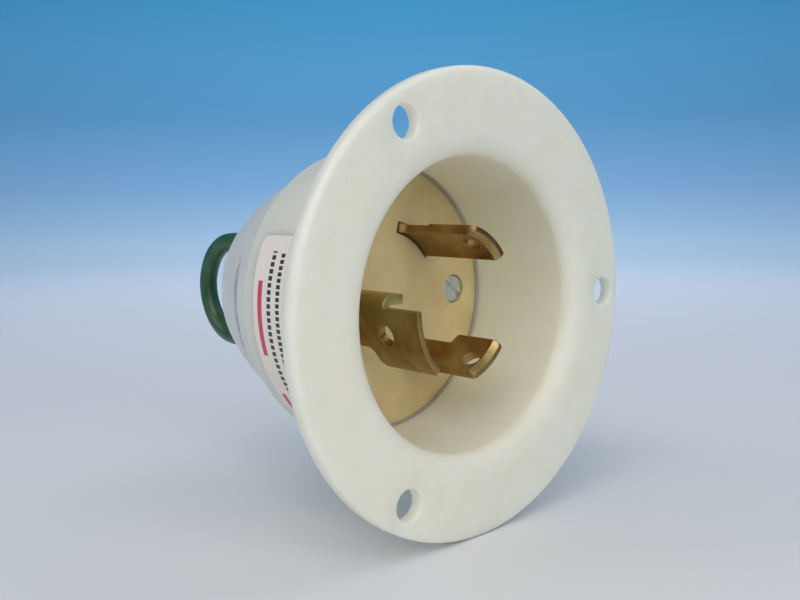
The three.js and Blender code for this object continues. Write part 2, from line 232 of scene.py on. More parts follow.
def newTree(name, inputs):
    tree = bpy.data.node_groups.new(name, "GeometryNodeTree")
    tree.interface.new_socket("Geometry", in_out="INPUT", socket_type="NodeSocketGeometry")
    for label, kind, value in inputs:
        socket = tree.interface.new_socket(label, in_out="INPUT", socket_type=kind)
        if value is not None:
            socket.default_value = value
    tree.interface.new_socket("Geometry", in_out="OUTPUT", socket_type="NodeSocketGeometry")
    return tree


def turnedTree():
    # turns an edge profile (x is the radius, y the height) round the Y axis
    tree = newTree("turnedPart", [
        ("Facets", "NodeSocketInt", 96),
        ("Guide Radius", "NodeSocketFloat", 0.01),
        ("Material", "NodeSocketMaterial", None),
    ])
    nodes, links = tree.nodes, tree.links
    inputs = nodes.new("NodeGroupInput")
    inputs.location = (-900, 0)
    profile = nodes.new("GeometryNodeMeshToCurve")
    profile.label = "profile as a curve"
    profile.location = (-650, 120)
    guide = nodes.new("GeometryNodeCurvePrimitiveCircle")
    guide.label = "circle it is turned round"
    guide.location = (-650, -120)
    offset = nodes.new("ShaderNodeMath")
    offset.label = "guide radius taken off"
    offset.operation = "MULTIPLY"
    offset.inputs[1].default_value = -1
    offset.location = (-650, -320)
    offsetVector = nodes.new("ShaderNodeCombineXYZ")
    offsetVector.label = "shift of the profile"
    offsetVector.location = (-450, -320)
    shift = nodes.new("GeometryNodeTransform")
    shift.label = "profile moved onto the guide"
    shift.location = (-400, 120)
    sweep = nodes.new("GeometryNodeCurveToMesh")
    sweep.label = "turned skin"
    sweep.location = (-150, 60)
    upright = nodes.new("GeometryNodeTransform")
    upright.label = "axis laid along Y"
    upright.inputs["Rotation"].default_value = (math.pi / 2, 0, 0)
    upright.location = (60, 60)
    merge = nodes.new("GeometryNodeMergeByDistance")
    merge.label = "poles and seam closed"
    merge.inputs["Distance"].default_value = 2e-6
    merge.location = (260, 60)
    realize = nodes.new("GeometryNodeRealizeInstances")
    realize.location = (460, 60)
    paint = nodes.new("GeometryNodeSetMaterial")
    paint.label = "finish of the part"
    paint.location = (660, 60)
    output = nodes.new("NodeGroupOutput")
    output.location = (860, 60)
    links.new(inputs.outputs["Geometry"], profile.inputs["Mesh"])
    links.new(inputs.outputs["Facets"], guide.inputs["Resolution"])
    links.new(inputs.outputs["Guide Radius"], guide.inputs["Radius"])
    links.new(inputs.outputs["Guide Radius"], offset.inputs[0])
    links.new(offset.outputs[0], offsetVector.inputs["X"])
    links.new(offsetVector.outputs[0], shift.inputs["Translation"])
    links.new(profile.outputs["Curve"], shift.inputs["Geometry"])
    links.new(guide.outputs["Curve"], sweep.inputs["Curve"])
    links.new(shift.outputs["Geometry"], sweep.inputs["Profile Curve"])
    links.new(sweep.outputs["Mesh"], upright.inputs["Geometry"])
    links.new(upright.outputs["Geometry"], merge.inputs["Geometry"])
    links.new(merge.outputs["Geometry"], realize.inputs["Geometry"])
    links.new(realize.outputs["Geometry"], paint.inputs["Geometry"])
    links.new(inputs.outputs["Material"], paint.inputs["Material"])
    links.new(paint.outputs["Geometry"], output.inputs["Geometry"])
    return tree


def drillTree():
    # repeats one drill shape round a circle and cuts it out of the part
    tree = newTree("screwHoles", [
        ("Drill", "NodeSocketObject", None),
        ("Circle Radius", "NodeSocketFloat", 0.031),
        ("Count", "NodeSocketInt", 3),
        ("Material", "NodeSocketMaterial", None),
    ])
    nodes, links = tree.nodes, tree.links
    inputs = nodes.new("NodeGroupInput")
    inputs.location = (-700, 0)
    ring = nodes.new("GeometryNodeMeshCircle")
    ring.label = "one point for each hole"
    ring.location = (-450, -160)
    upright = nodes.new("GeometryNodeTransform")
    upright.label = "ring stood up round Y"
    upright.inputs["Rotation"].default_value = (math.pi / 2, 0, 0)
    upright.location = (-250, -160)
    drill = nodes.new("GeometryNodeObjectInfo")
    drill.label = "drill shape"
    drill.location = (-450, -380)
    repeat = nodes.new("GeometryNodeInstanceOnPoints")
    repeat.label = "a drill on each point"
    repeat.location = (-30, -160)
    solid = nodes.new("GeometryNodeRealizeInstances")
    solid.location = (160, -160)
    cut = nodes.new("GeometryNodeMeshBoolean")
    cut.label = "holes cut"
    cut.operation = "DIFFERENCE"
    cut.solver = "EXACT"
    cut.location = (360, 0)
    realize = nodes.new("GeometryNodeRealizeInstances")
    realize.location = (560, 0)
    paint = nodes.new("GeometryNodeSetMaterial")
    paint.label = "finish of the part"
    paint.location = (760, 0)
    output = nodes.new("NodeGroupOutput")
    output.location = (960, 0)
    links.new(inputs.outputs["Count"], ring.inputs["Vertices"])
    links.new(inputs.outputs["Circle Radius"], ring.inputs["Radius"])
    links.new(inputs.outputs["Drill"], drill.inputs["Object"])
    links.new(ring.outputs["Mesh"], upright.inputs["Geometry"])
    links.new(upright.outputs["Geometry"], repeat.inputs["Points"])
    links.new(drill.outputs["Geometry"], repeat.inputs["Instance"])
    links.new(repeat.outputs["Instances"], solid.inputs["Geometry"])
    links.new(inputs.outputs["Geometry"], cut.inputs["Mesh 1"])
    links.new(solid.outputs["Geometry"], cut.inputs["Mesh 2"])
    links.new(cut.outputs["Mesh"], realize.inputs["Geometry"])
    links.new(realize.outputs["Geometry"], paint.inputs["Geometry"])
    links.new(inputs.outputs["Material"], paint.inputs["Material"])
    links.new(paint.outputs["Geometry"], output.inputs["Geometry"])
    return tree


def screwTree():
    # cuts a right-handed thread and a driver slot into a turned screw blank that stands along Y
    tree = newTree("threadAndSlot", [
        ("Pitch", "NodeSocketFloat", 0.000794),
        ("Thread Depth", "NodeSocketFloat", 0.0003),
        ("Thread Start", "NodeSocketFloat", 0),
        ("Thread End", "NodeSocketFloat", 0.01),
        ("Slot Size", "NodeSocketVector", None),
        ("Slot Place", "NodeSocketVector", None),
        ("Slot Turn", "NodeSocketFloat", 0),
        ("Material", "NodeSocketMaterial", None),
    ])
    nodes, links = tree.nodes, tree.links
    inputs = nodes.new("NodeGroupInput")
    inputs.location = (-1400, 0)
    position = nodes.new("GeometryNodeInputPosition")
    position.location = (-1400, -300)
    split = nodes.new("ShaderNodeSeparateXYZ")
    split.location = (-1200, -300)
    bearing = nodes.new("ShaderNodeMath")
    bearing.label = "angle round the screw"
    bearing.operation = "ARCTAN2"
    bearing.location = (-1000, -420)
    turns = nodes.new("ShaderNodeMath")
    turns.label = "angle as turns"
    turns.operation = "DIVIDE"
    turns.inputs[1].default_value = 2 * math.pi
    turns.location = (-820, -420)
    climb = nodes.new("ShaderNodeMath")
    climb.label = "height in pitches"
    climb.operation = "DIVIDE"
    climb.location = (-1000, -240)
    phase = nodes.new("ShaderNodeMath")
    phase.label = "place on the helix"
    phase.operation = "ADD"
    phase.location = (-640, -320)
    wave = nodes.new("ShaderNodeMath")
    wave.label = "thread flanks"
    wave.operation = "PINGPONG"
    wave.inputs[1].default_value = 0.5
    wave.location = (-460, -320)
    fadeIn = nodes.new("ShaderNodeMapRange")
    fadeIn.label = "first turn rises"
    fadeIn.location = (-700, -560)
    fadeInEnd = nodes.new("ShaderNodeMath")
    fadeInEnd.label = "one pitch after the start"
    fadeInEnd.operation = "ADD"
    fadeInEnd.location = (-900, -620)
    fadeOut = nodes.new("ShaderNodeMapRange")
    fadeOut.label = "last turn dies out"
    fadeOut.inputs["To Min"].default_value = 1
    fadeOut.inputs["To Max"].default_value = 0
    fadeOut.location = (-700, -820)
    fadeOutStart = nodes.new("ShaderNodeMath")
    fadeOutStart.label = "one pitch before the end"
    fadeOutStart.operation = "SUBTRACT"
    fadeOutStart.location = (-900, -860)
    fades = nodes.new("ShaderNodeMath")
    fades.label = "both ends faded"
    fades.operation = "MULTIPLY"
    fades.location = (-480, -640)
    deep = nodes.new("ShaderNodeMath")
    deep.label = "flank times depth"
    deep.operation = "MULTIPLY"
    deep.location = (-260, -320)
    inward = nodes.new("ShaderNodeMath")
    inward.label = "pulled in, twice the half wave"
    inward.operation = "MULTIPLY"
    inward.location = (-260, -500)
    pull = nodes.new("ShaderNodeMath")
    pull.label = "towards the axis"
    pull.operation = "MULTIPLY"
    pull.inputs[1].default_value = -2
    pull.location = (-80, -400)
    flat = nodes.new("ShaderNodeVectorMath")
    flat.label = "height left out"
    flat.operation = "MULTIPLY"
    flat.inputs[1].default_value = (1, 0, 1)
    flat.location = (-460, -80)
    outward = nodes.new("ShaderNodeVectorMath")
    outward.label = "outward direction"
    outward.operation = "NORMALIZE"
    outward.location = (-260, -80)
    move = nodes.new("ShaderNodeVectorMath")
    move.label = "thread offset"
    move.operation = "SCALE"
    move.location = (100, -200)
    thread = nodes.new("GeometryNodeSetPosition")
    thread.label = "thread cut"
    thread.location = (300, 0)
    bar = nodes.new("GeometryNodeMeshCube")
    bar.label = "driver slot"
    bar.location = (100, -560)
    barPlace = nodes.new("GeometryNodeTransform")
    barPlace.label = "slot across the head"
    barPlace.location = (300, -480)
    barTurn = nodes.new("ShaderNodeCombineXYZ")
    barTurn.label = "slot turned round Y"
    barTurn.location = (100, -760)
    cut = nodes.new("GeometryNodeMeshBoolean")
    cut.label = "slot cut"
    cut.operation = "DIFFERENCE"
    cut.solver = "EXACT"
    cut.location = (500, 0)
    realize = nodes.new("GeometryNodeRealizeInstances")
    realize.location = (700, 0)
    paint = nodes.new("GeometryNodeSetMaterial")
    paint.label = "finish of the screw"
    paint.location = (900, 0)
    output = nodes.new("NodeGroupOutput")
    output.location = (1100, 0)
    links.new(position.outputs[0], split.inputs[0])
    links.new(split.outputs["Z"], bearing.inputs[0])
    links.new(split.outputs["X"], bearing.inputs[1])
    links.new(bearing.outputs[0], turns.inputs[0])
    links.new(split.outputs["Y"], climb.inputs[0])
    links.new(inputs.outputs["Pitch"], climb.inputs[1])
    links.new(climb.outputs[0], phase.inputs[0])
    links.new(turns.outputs[0], phase.inputs[1])
    links.new(phase.outputs[0], wave.inputs[0])
    links.new(split.outputs["Y"], fadeIn.inputs["Value"])
    links.new(inputs.outputs["Thread Start"], fadeIn.inputs["From Min"])
    links.new(inputs.outputs["Thread Start"], fadeInEnd.inputs[0])
    links.new(inputs.outputs["Pitch"], fadeInEnd.inputs[1])
    links.new(fadeInEnd.outputs[0], fadeIn.inputs["From Max"])
    links.new(split.outputs["Y"], fadeOut.inputs["Value"])
    links.new(inputs.outputs["Thread End"], fadeOut.inputs["From Max"])
    links.new(inputs.outputs["Thread End"], fadeOutStart.inputs[0])
    links.new(inputs.outputs["Pitch"], fadeOutStart.inputs[1])
    links.new(fadeOutStart.outputs[0], fadeOut.inputs["From Min"])
    links.new(fadeIn.outputs[0], fades.inputs[0])
    links.new(fadeOut.outputs[0], fades.inputs[1])
    links.new(wave.outputs[0], deep.inputs[0])
    links.new(inputs.outputs["Thread Depth"], deep.inputs[1])
    links.new(deep.outputs[0], inward.inputs[0])
    links.new(fades.outputs[0], inward.inputs[1])
    links.new(inward.outputs[0], pull.inputs[0])
    links.new(position.outputs[0], flat.inputs[0])
    links.new(flat.outputs[0], outward.inputs[0])
    links.new(outward.outputs[0], move.inputs[0])
    links.new(pull.outputs[0], move.inputs["Scale"])
    links.new(inputs.outputs["Geometry"], thread.inputs["Geometry"])
    links.new(move.outputs[0], thread.inputs["Offset"])
    links.new(inputs.outputs["Slot Size"], bar.inputs["Size"])
    links.new(inputs.outputs["Slot Place"], barPlace.inputs["Translation"])
    links.new(inputs.outputs["Slot Turn"], barTurn.inputs["Y"])
    links.new(barTurn.outputs[0], barPlace.inputs["Rotation"])
    links.new(bar.outputs["Mesh"], barPlace.inputs["Geometry"])
    links.new(thread.outputs["Geometry"], cut.inputs["Mesh 1"])
    links.new(barPlace.outputs["Geometry"], cut.inputs["Mesh 2"])
    links.new(cut.outputs["Mesh"], realize.inputs["Geometry"])
    links.new(realize.outputs["Geometry"], paint.inputs["Geometry"])
    links.new(inputs.outputs["Material"], paint.inputs["Material"])
    links.new(paint.outputs["Geometry"], output.inputs["Geometry"])
    return tree


def wireTree():
    # a round sleeve along a route of points
    tree = newTree("sleeve", [
        ("Radius", "NodeSocketFloat", 0.0016),
        ("Sides", "NodeSocketInt", 24),
        ("Step", "NodeSocketFloat", 0.0004),
        ("Material", "NodeSocketMaterial", None),
    ])
    nodes, links = tree.nodes, tree.links
    inputs = nodes.new("NodeGroupInput")
    inputs.location = (-800, 0)
    route = nodes.new("GeometryNodeMeshToCurve")
    route.label = "route as a curve"
    route.location = (-600, 80)
    smooth = nodes.new("GeometryNodeCurveSplineType")
    smooth.label = "bends made smooth"
    smooth.spline_type = "CATMULL_ROM"
    smooth.location = (-400, 80)
    resample = nodes.new("GeometryNodeResampleCurve")
    resample.label = "even steps"
    resample.mode = "LENGTH"
    resample.location = (-200, 80)
    section = nodes.new("GeometryNodeCurvePrimitiveCircle")
    section.label = "sleeve section"
    section.location = (-200, -160)
    sweep = nodes.new("GeometryNodeCurveToMesh")
    sweep.label = "sleeve"
    sweep.inputs["Fill Caps"].default_value = True
    sweep.location = (20, 40)
    realize = nodes.new("GeometryNodeRealizeInstances")
    realize.location = (220, 40)
    paint = nodes.new("GeometryNodeSetMaterial")
    paint.label = "insulation"
    paint.location = (420, 40)
    output = nodes.new("NodeGroupOutput")
    output.location = (620, 40)
    links.new(inputs.outputs["Geometry"], route.inputs["Mesh"])
    links.new(route.outputs["Curve"], smooth.inputs["Curve"])
    links.new(smooth.outputs["Curve"], resample.inputs["Curve"])
    links.new(inputs.outputs["Step"], resample.inputs["Length"])
    links.new(inputs.outputs["Radius"], section.inputs["Radius"])
    links.new(inputs.outputs["Sides"], section.inputs["Resolution"])
    links.new(resample.outputs["Curve"], sweep.inputs["Curve"])
    links.new(section.outputs["Curve"], sweep.inputs["Profile Curve"])
    links.new(sweep.outputs["Mesh"], realize.inputs["Geometry"])
    links.new(realize.outputs["Geometry"], paint.inputs["Geometry"])
    links.new(inputs.outputs["Material"], paint.inputs["Material"])
    links.new(paint.outputs["Geometry"], output.inputs["Geometry"])
    return tree


turning = turnedTree()
drilling = drillTree()
threading = screwTree()
sleeving = wireTree()
print("node trees built")


def nylonMaterial(name, look):
    # moulded nylon: light goes a little way in, and the skin has a fine grain from the mould
    material = bpy.data.materials.new(name)
    material.use_nodes = True
    nodes, links = material.node_tree.nodes, material.node_tree.links
    nodes.clear()
    coordinates = nodes.new("ShaderNodeTexCoord")
    coordinates.label = "place on the part"
    coordinates.location = (-1300, 0)
    clouds = nodes.new("ShaderNodeTexNoise")
    clouds.label = "cloudy resin"
    clouds.location = (-1050, 260)
    flow = nodes.new("ShaderNodeTexNoise")
    flow.label = "flow marks from the mould"
    flow.location = (-1050, 20)
    stretch = nodes.new("ShaderNodeMapping")
    stretch.label = "marks drawn out along the axis"
    stretch.location = (-1250, -180)
    tone = nodes.new("ShaderNodeValToRGB")
    tone.label = "resin tone"
    tone.location = (-800, 260)
    streak = nodes.new("ShaderNodeMix")
    streak.label = "flow marks darken"
    streak.data_type = "RGBA"
    streak.blend_type = "MULTIPLY"
    streak.location = (-480, 200)
    streakTone = nodes.new("ShaderNodeValToRGB")
    streakTone.label = "depth of the flow marks"
    streakTone.location = (-800, 0)
    specks = nodes.new("ShaderNodeTexVoronoi")
    specks.label = "specks of dust"
    specks.location = (-1050, -420)
    speckSize = nodes.new("ShaderNodeMath")
    speckSize.label = "size of a speck"
    speckSize.operation = "LESS_THAN"
    speckSize.location = (-850, -420)
    dusty = nodes.new("ShaderNodeMix")
    dusty.label = "specks laid on"
    dusty.data_type = "RGBA"
    dusty.location = (-260, 160)
    sheen = nodes.new("ShaderNodeMapRange")
    sheen.label = "uneven gloss"
    sheen.location = (-480, -120)
    grain = nodes.new("ShaderNodeTexNoise")
    grain.label = "fine mould grain"
    grain.location = (-800, -640)
    relief = nodes.new("ShaderNodeBump")
    relief.label = "grain relief"
    relief.location = (-260, -420)
    skin = nodes.new("ShaderNodeBsdfPrincipled")
    skin.label = "nylon"
    skin.location = (0, 120)
    output = nodes.new("ShaderNodeOutputMaterial")
    output.location = (300, 120)
    for label, members in (
        ("colour", (clouds, flow, tone, streak, streakTone, specks, speckSize, dusty)),
        ("surface", (sheen, grain, relief)),
    ):
        group = nodes.new("NodeFrame")
        group.label = label
        for member in members:
            member.parent = group
    clouds.inputs["Scale"].default_value = look["cloudScale"]
    clouds.inputs["Detail"].default_value = 4
    stretch.inputs["Scale"].default_value = (1, 0.25, 1)
    flow.inputs["Scale"].default_value = look["flowScale"]
    flow.inputs["Detail"].default_value = 2
    tone.color_ramp.elements[0].position = 0.35
    tone.color_ramp.elements[0].color = (*look["shade"], 1)
    tone.color_ramp.elements[1].position = 0.65
    tone.color_ramp.elements[1].color = (*look["clean"], 1)
    streakTone.color_ramp.elements[0].position = 0.3
    streakTone.color_ramp.elements[0].color = (look["streak"], look["streak"], look["streak"] * 0.98, 1)
    streakTone.color_ramp.elements[1].position = 0.6
    streakTone.color_ramp.elements[1].color = (1, 1, 1, 1)
    streak.inputs["Factor"].default_value = 1
    specks.inputs["Scale"].default_value = look["speckScale"]
    speckSize.inputs[1].default_value = look["speckSize"]
    dusty.inputs["B"].default_value = (*look["dust"], 1)
    sheen.inputs["To Min"].default_value = look["roughness"] - 0.05
    sheen.inputs["To Max"].default_value = look["roughness"] + 0.07
    grain.inputs["Scale"].default_value = look["grainScale"]
    grain.inputs["Detail"].default_value = 3
    relief.inputs["Strength"].default_value = look["grain"]
    relief.inputs["Distance"].default_value = 0.00003
    skin.subsurface_method = "RANDOM_WALK"
    skin.inputs["Subsurface Weight"].default_value = look["subsurface"]
    skin.inputs["Subsurface Radius"].default_value = (1, 0.85, 0.6)
    skin.inputs["Subsurface Scale"].default_value = look["depth"]
    skin.inputs["Specular IOR Level"].default_value = look["specular"]
    skin.inputs["IOR"].default_value = 1.53
    links.new(coordinates.outputs["Object"], clouds.inputs["Vector"])
    links.new(coordinates.outputs["Object"], stretch.inputs["Vector"])
    links.new(stretch.outputs["Vector"], flow.inputs["Vector"])
    links.new(coordinates.outputs["Object"], specks.inputs["Vector"])
    links.new(coordinates.outputs["Object"], grain.inputs["Vector"])
    links.new(clouds.outputs["Fac"], tone.inputs["Fac"])
    links.new(flow.outputs["Fac"], streakTone.inputs["Fac"])
    links.new(tone.outputs["Color"], streak.inputs["A"])
    links.new(streakTone.outputs["Color"], streak.inputs["B"])
    links.new(specks.outputs["Distance"], speckSize.inputs[0])
    links.new(speckSize.outputs[0], dusty.inputs["Factor"])
    links.new(streak.outputs["Result"], dusty.inputs["A"])
    links.new(flow.outputs["Fac"], sheen.inputs["Value"])
    links.new(grain.outputs["Fac"], relief.inputs["Height"])
    links.new(dusty.outputs["Result"], skin.inputs["Base Color"])
    links.new(sheen.outputs["Result"], skin.inputs["Roughness"])
    links.new(relief.outputs["Normal"], skin.inputs["Normal"])
    links.new(skin.outputs["BSDF"], output.inputs["Surface"])
    return material


def metalMaterial(name, look):
    # plated or plain metal: dull patches, rubbed lines and a slightly uneven face
    material = bpy.data.materials.new(name)
    material.use_nodes = True
    nodes, links = material.node_tree.nodes, material.node_tree.links
    nodes.clear()
    coordinates = nodes.new("ShaderNodeTexCoord")
    coordinates.label = "place on the metal"
    coordinates.location = (-1100, 0)
    patches = nodes.new("ShaderNodeTexNoise")
    patches.label = "dull patches"
    patches.location = (-850, 200)
    tone = nodes.new("ShaderNodeValToRGB")
    tone.label = "bright to dull"
    tone.location = (-600, 200)
    lay = nodes.new("ShaderNodeMapping")
    lay.label = "direction of the rubbing"
    lay.location = (-900, -160)
    rubbing = nodes.new("ShaderNodeTexNoise")
    rubbing.label = "rubbed lines"
    rubbing.location = (-680, -160)
    gloss = nodes.new("ShaderNodeMapRange")
    gloss.label = "gloss of the patches"
    gloss.location = (-380, -60)
    relief = nodes.new("ShaderNodeBump")
    relief.label = "relief of the lines"
    relief.location = (-380, -320)
    metal = nodes.new("ShaderNodeBsdfPrincipled")
    metal.label = "metal"
    metal.location = (-100, 100)
    output = nodes.new("ShaderNodeOutputMaterial")
    output.location = (200, 100)
    for label, members in (("colour", (patches, tone)), ("surface", (lay, rubbing, gloss, relief))):
        group = nodes.new("NodeFrame")
        group.label = label
        for member in members:
            member.parent = group
    patches.inputs["Scale"].default_value = look["patchScale"]
    patches.inputs["Detail"].default_value = 6
    patches.inputs["Roughness"].default_value = 0.6
    tone.color_ramp.elements[0].position = 0.38
    tone.color_ramp.elements[0].color = (*look["bright"], 1)
    tone.color_ramp.elements[1].position = 0.66
    tone.color_ramp.elements[1].color = (*look["dull"], 1)
    lay.inputs["Scale"].default_value = look["rubbing"]
    rubbing.inputs["Scale"].default_value = 1200
    rubbing.inputs["Detail"].default_value = 3
    gloss.inputs["From Min"].default_value = 0.35
    gloss.inputs["From Max"].default_value = 0.7
    gloss.inputs["To Min"].default_value = look["roughness"] - 0.07
    gloss.inputs["To Max"].default_value = look["roughness"] + 0.12
    relief.inputs["Strength"].default_value = look["relief"]
    relief.inputs["Distance"].default_value = 0.00003
    metal.inputs["Metallic"].default_value = look["metallic"]
    metal.inputs["Coat Weight"].default_value = look["coat"]
    metal.inputs["Coat Roughness"].default_value = 0.2
    links.new(coordinates.outputs["Object"], patches.inputs["Vector"])
    links.new(coordinates.outputs["Object"], lay.inputs["Vector"])
    links.new(lay.outputs["Vector"], rubbing.inputs["Vector"])
    links.new(patches.outputs["Fac"], tone.inputs["Fac"])
    links.new(patches.outputs["Fac"], gloss.inputs["Value"])
    links.new(rubbing.outputs["Fac"], relief.inputs["Height"])
    links.new(tone.outputs["Color"], metal.inputs["Base Color"])
    links.new(gloss.outputs["Result"], metal.inputs["Roughness"])
    links.new(relief.outputs["Normal"], metal.inputs["Normal"])
    links.new(metal.outputs["BSDF"], output.inputs["Surface"])
    return material


def bladeMaterial(name, look):
    # brass strip that has gone brown, with bright metal where its edges were sheared and rubbed; the bright
    # rims and tip chamfer are partly painted highlight as well
    material = bpy.data.materials.new(name)
    material.use_nodes = True
    nodes, links = material.node_tree.nodes, material.node_tree.links
    nodes.clear()
    coordinates = nodes.new("ShaderNodeTexCoord")
    coordinates.label = "place on the blade"
    coordinates.location = (-1500, 0)
    stain = nodes.new("ShaderNodeTexNoise")
    stain.label = "stain from handling"
    stain.location = (-1250, 300)
    stainTone = nodes.new("ShaderNodeValToRGB")
    stainTone.label = "brown to olive to yellow"
    stainTone.location = (-1000, 300)
    # rims and tip chamfers marked by this attribute get bright brass: edge wear together with painted
    # highlight
    worn = nodes.new("ShaderNodeAttribute")
    worn.label = "sheared and rubbed edges"
    worn.attribute_name = "worn"
    worn.location = (-1250, -320)
    patchy = nodes.new("ShaderNodeTexNoise")
    patchy.label = "wear that comes and goes"
    patchy.location = (-1250, -80)
    patchyRange = nodes.new("ShaderNodeMapRange")
    patchyRange.label = "how patchy the wear is"
    patchyRange.location = (-1000, -80)
    wear = nodes.new("ShaderNodeMath")
    wear.label = "wear"
    wear.operation = "MULTIPLY"
    wear.location = (-760, -160)
    # bright brass mixed in on the marked faces, part edge wear, part painted highlight
    colour = nodes.new("ShaderNodeMix")
    colour.label = "bright brass where worn"
    colour.data_type = "RGBA"
    colour.location = (-520, 220)
    lay = nodes.new("ShaderNodeMapping")
    lay.label = "rolled along the strip"
    lay.location = (-1250, -560)
    rolling = nodes.new("ShaderNodeTexNoise")
    rolling.label = "rolling lines"
    rolling.location = (-1000, -560)
    gloss = nodes.new("ShaderNodeMapRange")
    gloss.label = "uneven gloss"
    gloss.location = (-760, -420)
    glossWorn = nodes.new("ShaderNodeMath")
    glossWorn.label = "smoother where worn"
    glossWorn.operation = "MULTIPLY_ADD"
    glossWorn.use_clamp = True
    glossWorn.location = (-520, -360)
    relief = nodes.new("ShaderNodeBump")
    relief.label = "relief of the lines"
    relief.location = (-520, -580)
    metal = nodes.new("ShaderNodeBsdfPrincipled")
    metal.label = "brass"
    metal.location = (-200, 100)
    output = nodes.new("ShaderNodeOutputMaterial")
    output.location = (120, 100)
    for label, members in (
        ("colour", (stain, stainTone, colour)),
        ("wear", (worn, patchy, patchyRange, wear)),
        ("surface", (lay, rolling, gloss, glossWorn, relief)),
    ):
        group = nodes.new("NodeFrame")
        group.label = label
        for member in members:
            member.parent = group
    stain.inputs["Scale"].default_value = look["stainScale"]
    stain.inputs["Detail"].default_value = 5
    stain.inputs["Roughness"].default_value = 0.55
    stain.inputs["Distortion"].default_value = 0.4
    ramp = stainTone.color_ramp
    ramp.elements[0].position = 0.32
    ramp.elements[0].color = (*look["brown"], 1)
    ramp.elements[1].position = 0.72
    ramp.elements[1].color = (*look["yellow"], 1)
    ramp.elements.new(0.52).color = (*look["olive"], 1)
    patchy.inputs["Scale"].default_value = 700
    patchy.inputs["Detail"].default_value = 3
    patchyRange.inputs["From Min"].default_value = 0.3
    patchyRange.inputs["From Max"].default_value = 0.6
    patchyRange.inputs["To Min"].default_value = 0.35
    colour.inputs["B"].default_value = (*look["bare"], 1)
    lay.inputs["Scale"].default_value = (1, 0.12, 1)
    rolling.inputs["Scale"].default_value = 2600
    rolling.inputs["Detail"].default_value = 2
    gloss.inputs["From Min"].default_value = 0.3
    gloss.inputs["From Max"].default_value = 0.7
    gloss.inputs["To Min"].default_value = look["roughness"] - 0.06
    gloss.inputs["To Max"].default_value = look["roughness"] + 0.14
    glossWorn.inputs[1].default_value = -0.1
    relief.inputs["Strength"].default_value = 0.25
    relief.inputs["Distance"].default_value = 0.00002
    metal.inputs["Metallic"].default_value = 1
    links.new(coordinates.outputs["Object"], stain.inputs["Vector"])
    links.new(coordinates.outputs["Object"], patchy.inputs["Vector"])
    links.new(coordinates.outputs["Object"], lay.inputs["Vector"])
    links.new(lay.outputs["Vector"], rolling.inputs["Vector"])
    links.new(stain.outputs["Fac"], stainTone.inputs["Fac"])
    links.new(patchy.outputs["Fac"], patchyRange.inputs["Value"])
    links.new(worn.outputs["Fac"], wear.inputs[0])
    links.new(patchyRange.outputs["Result"], wear.inputs[1])
    links.new(wear.outputs[0], colour.inputs["Factor"])
    links.new(stainTone.outputs["Color"], colour.inputs["A"])
    links.new(stain.outputs["Fac"], gloss.inputs["Value"])
    links.new(wear.outputs[0], glossWorn.inputs[0])
    links.new(gloss.outputs["Result"], glossWorn.inputs[2])
    links.new(rolling.outputs["Fac"], relief.inputs["Height"])
    links.new(colour.outputs["Result"], metal.inputs["Base Color"])
    links.new(glossWorn.outputs[0], metal.inputs["Roughness"])
    links.new(relief.outputs["Normal"], metal.inputs["Normal"])
    links.new(metal.outputs["BSDF"], output.inputs["Surface"])
    return material


def insulationMaterial(name, look):
    # drawn vinyl sleeve: fine lines along it, scuffs, and a soft shine
    material = bpy.data.materials.new(name)
    material.use_nodes = True
    nodes, links = material.node_tree.nodes, material.node_tree.links
    nodes.clear()
    coordinates = nodes.new("ShaderNodeTexCoord")
    coordinates.label = "place on the wire"
    coordinates.location = (-1100, 0)
    fade = nodes.new("ShaderNodeTexNoise")
    fade.label = "uneven dye"
    fade.location = (-850, 220)
    tone = nodes.new("ShaderNodeValToRGB")
    tone.label = "dye tone"
    tone.location = (-600, 220)
    lay = nodes.new("ShaderNodeMapping")
    lay.label = "drawn along the wire"
    lay.location = (-850, -60)
    drawn = nodes.new("ShaderNodeTexNoise")
    drawn.label = "die lines and scuffs"
    drawn.location = (-600, -60)
    gloss = nodes.new("ShaderNodeMapRange")
    gloss.label = "scuffed gloss"
    gloss.location = (-350, 0)
    relief = nodes.new("ShaderNodeBump")
    relief.label = "die line relief"
    relief.location = (-350, -260)
    sleeve = nodes.new("ShaderNodeBsdfPrincipled")
    sleeve.label = "vinyl"
    sleeve.location = (-80, 120)
    output = nodes.new("ShaderNodeOutputMaterial")
    output.location = (220, 120)
    for label, members in (("colour", (fade, tone)), ("surface", (lay, drawn, gloss, relief))):
        group = nodes.new("NodeFrame")
        group.label = label
        for member in members:
            member.parent = group
    fade.inputs["Scale"].default_value = 260
    fade.inputs["Detail"].default_value = 3
    tone.color_ramp.elements[0].position = 0.35
    tone.color_ramp.elements[0].color = (*look["deep"], 1)
    tone.color_ramp.elements[1].position = 0.7
    tone.color_ramp.elements[1].color = (*look["faded"], 1)
    lay.inputs["Scale"].default_value = (1, 0.3, 1)
    drawn.inputs["Scale"].default_value = 1500
    drawn.inputs["Detail"].default_value = 4
    gloss.inputs["To Min"].default_value = look["roughness"] - 0.08
    gloss.inputs["To Max"].default_value = look["roughness"] + 0.1
    relief.inputs["Strength"].default_value = 0.3
    relief.inputs["Distance"].default_value = 0.00004
    sleeve.inputs["Coat Weight"].default_value = look["coat"]
    sleeve.inputs["Coat Roughness"].default_value = 0.25
    links.new(coordinates.outputs["Object"], fade.inputs["Vector"])
    links.new(coordinates.outputs["Object"], lay.inputs["Vector"])
    links.new(lay.outputs["Vector"], drawn.inputs["Vector"])
    links.new(fade.outputs["Fac"], tone.inputs["Fac"])
    links.new(drawn.outputs["Fac"], gloss.inputs["Value"])
    links.new(drawn.outputs["Fac"], relief.inputs["Height"])
    links.new(tone.outputs["Color"], sleeve.inputs["Base Color"])
    links.new(gloss.outputs["Result"], sleeve.inputs["Roughness"])
    links.new(relief.outputs["Normal"], sleeve.inputs["Normal"])
    links.new(sleeve.outputs["BSDF"], output.inputs["Surface"])
    return material


